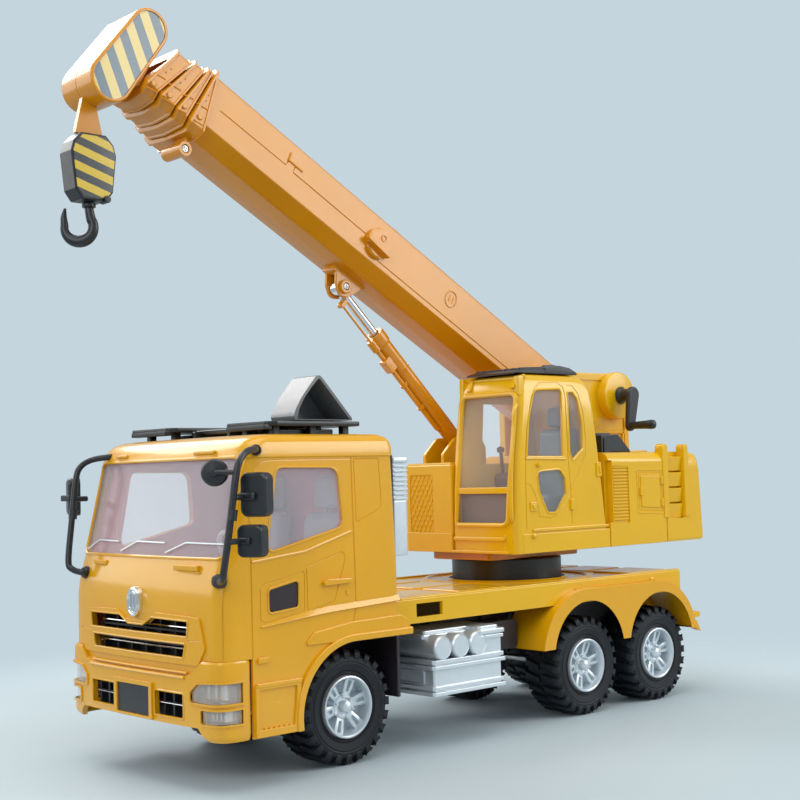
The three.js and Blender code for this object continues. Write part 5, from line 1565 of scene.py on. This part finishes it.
def collar(stage, wall):
    """A chevron collar: raised rims at both ends, ribs, a round boss and two dots on each flat side."""
    shrink = STAGES[stage][6]

    def ring(edge, ahead, sunk):
        return [(edge(n) + ahead, t, n) for t, n in collar_section(shrink + sunk)]

    def front(n):
        return along_edge(FRONTS[stage], n)

    def back(n):
        return collar_back(stage, n)
    on_tube = STAGES[stage][3] - shrink + 0.3
    rings = [ring(back, ahead, sunk)
             for ahead, sunk in ((0.0, on_tube), (0.2, -0.8), (1.3, -0.8), (1.5, 0.0))]
    rings += [ring(front, -behind, sunk)
              for behind, sunk in ((1.8, 0.0), (1.6, -0.9), (0.3, -0.9), (0.0, -0.4), (0.0, wall))]
    rings.append(ring(back, 0.0, wall))
    width = BOOM_HALF - shrink
    side = []
    for n in (-16.2, -5.0):
        side.append(tube([(back(n) + 0.8, width, n + 1.0), (front(n) - 0.8, width, n - 0.6)], 0.55, 8))
    boss_n = -12.0
    middle = (back(boss_n) + front(boss_n)) / 2
    side.append(lathe("Y", (middle, 0, boss_n), [(0.01, width - 1), (2.0, width - 1), (2.0, width + 0.7),
                                                 (1.5, width + 1.1), (0.01, width + 1.1)], 20))
    for n in (0.2, 4.6):
        at = (back(n) + front(n)) / 2
        side.append(lathe("Y", (at, 0, n), [(0.01, width - 0.5), (0.55, width - 0.5), (0.55, width + 0.3),
                                            (0.01, width + 0.5)], 10))
    return merged(loft(rings, closed=True), both(merged(*side)))


def boom_tube(shrink, wall, tail, mouth):
    def ring(s, size):
        return [(s, t, n) for t, n in boom_section(size)]
    return loft([ring(tail, shrink), ring(mouth, shrink), ring(mouth, shrink + wall),
                 ring(tail, shrink + wall)], closed=True)


def screw_head(centre, radius=2.5, turn=0.3):
    """A cross-head screw facing +Y."""
    x, y, z = centre
    head = lathe("Y", (x, 0, z), [(0.01, y - 2), (radius, y - 2), (radius, y), (radius * 0.8, y + 0.5),
                                  (0.01, y + 0.7)], 24)
    slots = []
    for k in range(2):
        slot = block((-radius * 0.66, radius * 0.66), (y - 0.1, y + 2), (-0.36, 0.36))
        slots.append(moved(slot,
                           Matrix.Translation((x, 0, z)) @ Matrix.Rotation(turn + k * math.pi / 2, 4, "Y")))
    return cut(cut(head, slots[0]), slots[1])


LIFT_PIN_S, LIFT_PIN_N = 250.0, -31.5


def outer_boom():
    _, _, _, shrink, wall, tail, _ = STAGES[0]
    side = BOOM_HALF
    body_tube = boom_tube(shrink, wall, tail, 414.4)
    lines = [[(401, 2.2), (342.2, 2.8), (341.8, 6.4)], [(335, 6.4), (334.8, 2.0), (263, 1.9)],
             [(246, -9.0), (60, -9.0)]]
    grooves = both(merged(*[tube([(s, side + 0.12, n) for s, n in line], 0.6, 6) for line in lines]))
    body_tube = cut(body_tube, grooves)
    mark = merged(tube([(342.4, side, 12.8), (341.8, side, 7.2)], 0.8, 8),
                  tube([(342.2, side, 7.2), (328.6, side, 7.2)], 0.8, 8))
    parts = [body_tube, collar(0, 3.6), both(mark)]
    disc = lathe("Y", (250.5, 0, 1.5), [(0.01, side - 1), (11.0, side - 1), (11.0, side + 2.4),
                                        (10.0, side + 3.6), (0.01, side + 3.8)], 44)
    pocket = prism("Y", rounded([(238, -9.5, 2), (263, -5.4, 2), (263, -2.6, 1), (238, -4.6, 1)]),
                   side + 1.2, side + 6)
    disc = cut(disc, pocket)
    lever = slab("Y", [(239.4, -4.2, 1), (262.6, -2.2, 1.5), (262.6, 1.0, 1.5), (239.4, -1.0, 1)], side + 1,
                 side + 5.4, 0.5)
    eye = tube([(s, side + 3.9, n) for s, n in arc(249.5, 6.4, 2.2, 0, 337.5, 15)], 0.5, 6, closed=True)
    bump = beam((228, 240), (8, 18), (22, 25.6), 1.2, 3)
    oval = arc(172, 6, 5.6, 0, 360 - 360 / 28, 27, tall=6.2 / 5.6)
    marks = tube([(s, side + 0.1, n) for s, n in oval], 0.55, 6, closed=True)
    bar = [peg((172 + dx, side - 0.4, 3.5), (172 + dx, side - 0.4, 8.5), 0.9, 8, 0.2, 1) for dx in (-2, 1.6)]
    parts += [both(merged(disc, lever, eye, marks, *bar)), bump]
    ear = rounded([(230, -19), (266, -19), (262, -24, 3), (257.6, -33.0, 5), (250.6, -39.8, 6),
                   (243.0, -36.0, 7), (236, -25, 5)])
    for t0, t1 in ((4.0, 6.6), (-6.6, -4.0)):
        parts.append(bevelled(prism("Y", ear, t0, t1), 0.5, 2, 50))
    parts.append(beam((258, 264.5), (-6.4, 6.4), (-26, -19), 0.8))
    parts.append(lathe("Y", (LIFT_PIN_S, 0, LIFT_PIN_N),
                       [(0.01, 6), (4.9, 6), (4.9, 8.4), (4.3, 8.9), (2.9, 8.9), (2.7, 7.8), (0.01, 7.8)],
                       28))
    foot = cut(rod((0, -24.6, 0), (0, 24.6, 0), 22.5, 56), rod((0, -30, 0), (0, 30, 0), 4.7, 24),
               block((-30, 30), (-17, 17), (-30, 30)))
    join_foot = cut(loft([[(s, t, n) for t, n in boom_section(0.2)] for s in (8, 28)]),
                    rod((0, -30, 0), (0, 30, 0), 21, 40), block((-30, 26), (-17, 17), (-30, 30)))
    parts += [bevelled(foot, 0.6, 2, 50), join_foot]
    parts.append(lathe("Y", (408.8, 0, -32.6),
                       [(0.01, 18.4), (2.9, 18.4), (2.9, 20), (4.6, 20), (4.6, -1.5), (4.2, -2.0),
                        (0.01, -2.0)], 28))
    parts.append(beam((406.5, 411), (4, 17), (-29.5, -20), 0.6))
    return moved(merged(*parts), BOOM)


def inner_stage(stage):
    _, _, _, shrink, wall, tail, lip = STAGES[stage]
    mouth = along_edge(FRONTS[stage], 18) - 2
    return moved(merged(boom_tube(shrink, wall, tail, mouth), collar(stage, shrink + wall - lip - 0.2)),
                 BOOM)


HEAD_LOW, HEAD_HIGH = (471.0, -25.6), (464.6, 19.6)
LOW_RADIUS, HIGH_RADIUS, HEAD_HALF = 14.6, 13.2, 18.6
SHEAVE_AT = (470.0, -25.0)


def stadium(shrink=0.0):
    """The head's outline: a large round low end and a smaller round high end."""
    low, high = Vector(HEAD_LOW), Vector(HEAD_HIGH)
    along = high - low
    lean = math.degrees(math.asin((LOW_RADIUS - HIGH_RADIUS) / along.length))
    start = math.degrees(math.atan2(along.y, along.x)) - 90
    return (arc(*high, HIGH_RADIUS - shrink, start + lean, start + 180 - lean, 16)
            + arc(*low, LOW_RADIUS - shrink, start + 180 - lean, start + 360 + lean, 16))


def head():
    shell = bevelled(prism("Y", stadium(), -HEAD_HALF, HEAD_HALF), 1.2, 3, 50)
    shell = cut(shell, both(prism("Y", stadium(2.0), HEAD_HALF - 1.0, HEAD_HALF + 4)))
    seam = tube([(s, 0, n) for s, n in stadium(-0.1)], 0.4, 6, closed=True)
    fan = [(239.4, 421), (242.8, 421), (250.5, 388), (232.0, 388)]
    slot = moved(prism("Y", fan, -28.8, -25.2), BOOM.inverted())
    cavity = rod((SHEAVE_AT[0], -4.2, SHEAVE_AT[1]), (SHEAVE_AT[0], 4.2, SHEAVE_AT[1]), 8.6, 36)
    axle = rod((SHEAVE_AT[0], -15, SHEAVE_AT[1]), (SHEAVE_AT[0], 15, SHEAVE_AT[1]), 2.6, 16)
    shell = cut(cut(cut(cut(shell, seam), slot), cavity), axle)
    neck = beam((452.4, 466), (-15.6, 15.6), (-15.5, 15.5), 1.0)
    return moved(merged(shell, neck), BOOM)


def head_labels():
    near = prism("Y", stadium(2.2), HEAD_HALF - 1.2, HEAD_HALF - 0.6)
    return moved(both(near), BOOM)


# ---------------------------------------------------------------- lift cylinder
LIFT_FOOT = Vector((-77, -27, 190))
LIFT_PIN = BOOM @ Vector((LIFT_PIN_S, 0, LIFT_PIN_N))
LIFT_LENGTH = (LIFT_PIN - LIFT_FOOT).length
LIFT_ANGLE = math.atan2(LIFT_PIN.z - LIFT_FOOT.z, LIFT_PIN.x - LIFT_FOOT.x)
LIFT = Matrix.Translation(LIFT_FOOT) @ Matrix.Rotation(-LIFT_ANGLE, 4, "Y")
BARREL_LENGTH = 124.0
PIPE = (2.4, -8.4)


def barrel():
    end = BARREL_LENGTH
    section = [(3.9, 18), (6.0, 18), (6.4, 30), (6.4, end - 11), (7.2, end - 9.5), (7.4, end - 8),
               (7.4, end - 1.2), (6.8, end), (3.9, end)]
    parts = [lathe("X", (0, 0, 0), section, 40),
             lathe("X", (0, 0, 0), [(6.2, end - 36), (6.9, end - 36), (6.9, end - 35), (6.2, end - 35)],
                   40)]
    parts.append(rod((2, 0, 0), (19, 0, 0), 6.0, 32))
    parts.append(peg((0, -5, 0), (0, 5, 0), 6.0, 28, 0.6))
    y, z = PIPE
    parts.append(tube([(31, y * 0.5, z * 0.7), (35, y, z), (60, y, z), (end - 12, y, z), (end - 0.5, y, z)],
                      1.8, 14))
    parts.append(lathe("X", (0, y, z), [(0.9, end - 9), (3.1, end - 9), (3.1, end - 1), (2.5, end),
                                        (0.9, end)], 20))
    parts.append(beam((end - 29, end - 18), (y - 3.4, y + 3.4), (z - 3.4, z + 3.6), 0.6))
    for s in (57, 80):
        parts.append(lathe("X", (s, y, z), [(1.2, -1.1), (2.7, -1.1), (2.7, 1.1), (1.2, 1.1)], 18))
        parts.append(beam((s - 1.1, s + 1.1), (y - 1.2, y + 1.2), (z, -5), 0.4))
    return moved(merged(*parts), LIFT)


def piston():
    parts = [rod((BARREL_LENGTH - 42, 0, 0), (LIFT_LENGTH - 3, 0, 0), 3.3, 32)]
    parts.append(peg((LIFT_LENGTH, -3.7, 0), (LIFT_LENGTH, 3.7, 0), 5.4, 32, 0.6))
    parts.append(peg((LIFT_LENGTH - 9, 0, 0), (LIFT_LENGTH - 5, 0, 0), 4.2, 28, 0.5))
    return moved(merged(*parts), LIFT)


def guide_rod():
    y, z = PIPE
    wire = rod((BARREL_LENGTH - 40, y, z), (LIFT_LENGTH - 9, y, z), 0.8, 12)
    link = beam((LIFT_LENGTH - 11, LIFT_LENGTH - 8), (-1.6, y + 1.4), (z - 1.4, -3), 0.4)
    return moved(merged(wire, link), LIFT)


# ---------------------------------------------------------------- hoist line, block and hook
LINE_X, LINE_Y, LINE_TOP, LINE_LOW = 241.091, -27.0, 419.995, 387.495
CORD_DIAMETER = 1.2
BLOCK_TOP = LINE_LOW - 0.3


def six_sided(half):
    """The outline of the block or its label, from its right half as (x, how far below the block's top)."""
    right = [(LINE_X + x, BLOCK_TOP - drop) for x, drop in half]
    left = [(LINE_X - x, BLOCK_TOP - drop) for x, drop in reversed(half)]
    return right + left


def hoist_block():
    """The hook block: a six-sided cheek each side of a glossy body."""
    outline = six_sided([(8.6, 0), (13.6, 5.4), (15.5, 12), (12.9, 35), (8.4, 41)])
    shell = bevelled(prism("Y", rounded(outline, 1.6), LINE_Y - 7.5, LINE_Y + 7.5), 1.0, 3, 50)
    eye = [(0.7, -2), (3.2, -2), (3.2, 0.2), (2.2, 1.4), (0.7, 1.4)]
    eye = lathe("Z", (LINE_X, LINE_Y, BLOCK_TOP), eye, 20)
    shank = beam((LINE_X - 5.5, LINE_X + 5.5), (LINE_Y - 5, LINE_Y + 5), (345.9, 350), 0.6)
    stub = peg((LINE_X - 8, LINE_Y + 2, 347.4), (LINE_X - 8, LINE_Y + 9.5, 347.4), 2.3, 18, 0.5)
    return merged(shell, eye, shank, stub)


def block_labels():
    outline = six_sided([(7.6, 1.4), (12.4, 6.2), (14.2, 12), (11.8, 34.2), (7.6, 39.4)])
    near = prism("Y", rounded(outline, 1.2), 7.3, 7.75)
    return shifted(both(near), y=LINE_Y)


def hook():
    """A round hook, thickest at the foot of its bowl and tapering to its tip, turned about its shank."""
    middle, centre, radius = LINE_Y - 6.3, 331.0, 8.9
    path = [(LINE_Y, 345.6, 2.6), (LINE_Y, 342.5, 2.7)]
    path += [(middle + radius * math.cos(a), centre + radius * math.sin(a),
              3.0 + 1.0 * math.sin(math.pi * k / 12) ** 2 - 0.6 * (k / 12) ** 2)
             for k, a in enumerate(math.radians(32 - 18.5 * k) for k in range(13))]
    path += [(middle - radius - 0.2, centre + 6.4, 1.9), (middle - radius + 0.6, centre + 11.6, 0.8)]
    points = smooth_path([(y, z, r) for y, z, r in path], 4)
    rings = []
    for i, (y, z, r) in enumerate(points):
        before, after = points[max(i - 1, 0)], points[min(i + 1, len(points) - 1)]
        dy, dz = after[0] - before[0], after[1] - before[1]
        length = math.hypot(dy, dz)
        across = (-dz / length, dy / length)
        rings.append([(LINE_X + 0.95 * r * math.sin(a), y + r * across[0] * math.cos(a),
                       z + r * across[1] * math.cos(a)) for a in (2 * math.pi * k / 20 for k in range(20))])
    collar_ring = peg((LINE_X, LINE_Y, 342.6), (LINE_X, LINE_Y, 345.4), 4.2, 24, 0.6)
    return turned(merged(loft(rings), collar_ring), LINE_X, LINE_Y, 48)


def hoist_cord():
    """The cord hangs straight from the sheave's side to the block."""
    count = 34
    path = [(LINE_X, LINE_Y, LINE_TOP + (LINE_LOW - LINE_TOP) * k / (count - 1)) for k in range(count)]
    made = piece("hoist_cord_line", None, CORD, tube(path, CORD_DIAMETER / 2, 12), ("hoist_cord",),
                 weighted=False)
    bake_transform(made)


def hazard(name, direction, period, offset, dark, light):
    """Diagonal warning stripes across a label, with the same uneven gloss as the plastic below."""
    material = finish(name, "black_plastic", light, roughness=0.25, coat=0.5, shift=0.02)
    tree = material.node_tree
    shader = tree.nodes["Principled BSDF"]
    coordinates = tree.nodes.new("ShaderNodeTexCoord")
    across = tree.nodes.new("ShaderNodeVectorMath")
    across.operation = "DOT_PRODUCT"
    across.inputs[1].default_value = (-direction[1] / (period * MM), 0, direction[0] / (period * MM))
    tree.links.new(coordinates.outputs["Object"], across.inputs[0])
    value = across.outputs["Value"]
    for operation, constant in (("ADD", offset), ("FRACT", 0.0), ("GREATER_THAN", 0.5)):
        step = tree.nodes.new("ShaderNodeMath")
        step.operation = operation
        step.inputs[1].default_value = constant
        tree.links.new(value, step.inputs[0])
        value = step.outputs["Value"]
    mix = tree.nodes.new("ShaderNodeMix")
    mix.data_type = "RGBA"
    plain = shader.inputs["Base Color"].links[0].from_socket
    tree.links.new(value, mix.inputs["Factor"])
    tree.links.new(plain, mix.inputs["A"])
    mix.inputs["B"].default_value = (*dark, 1)
    tree.links.new(mix.outputs["Result"], shader.inputs["Base Color"])
    return material


def boom_and_hook():
    piece("boom_outer_tube", "boom", ORANGE, outer_boom(), ("boom_outer",))
    for stage, (name, body, node, *_) in enumerate(STAGES):
        if stage:
            piece(name, body, ORANGE, inner_stage(stage), (node,))
    screws = merged(moved(screw_head((LIFT_PIN_S, 8.2, LIFT_PIN_N)), BOOM),
                    moved(screw_head((408.8, 18.9, -32.6), 2.7, 0.9), BOOM))
    piece("boom_screws", "boom", STEEL, screws)
    piece("boom_head_rimmed", "stage_4", ORANGE, head(), ("boom_head",))
    head_stripes = hazard("head_stripes", (0.367, 0.930), 13.1, 0.18, (0.14, 0.19, 0.23), (0.80, 0.60, 0.20))
    piece("boom_head_labels", "stage_4", head_stripes, head_labels())
    piece("lift_barrel_piped", "lift_barrel", ORANGE, barrel(), ("cylinder_barrel",))
    piece("lift_piston", "lift_rod", CHROME, piston(), ("piston_rod",))
    piece("lift_guide_rod", "lift_rod", ORANGE, guide_rod())
    piece("hook_block_body", "block", BLACK, hoist_block(), ("hook_block",))
    block_stripes = hazard("block_stripes", (0.959, 0.284), 10.0, 0.30, (0.012, 0.018, 0.022),
                           (0.66, 0.44, 0.004))
    piece("hook_block_labels", "block", block_stripes, block_labels())
    piece("hook_round", "hook_body", BLACK, hook(), ("hook",))
    hoist_cord()


boom_and_hook()
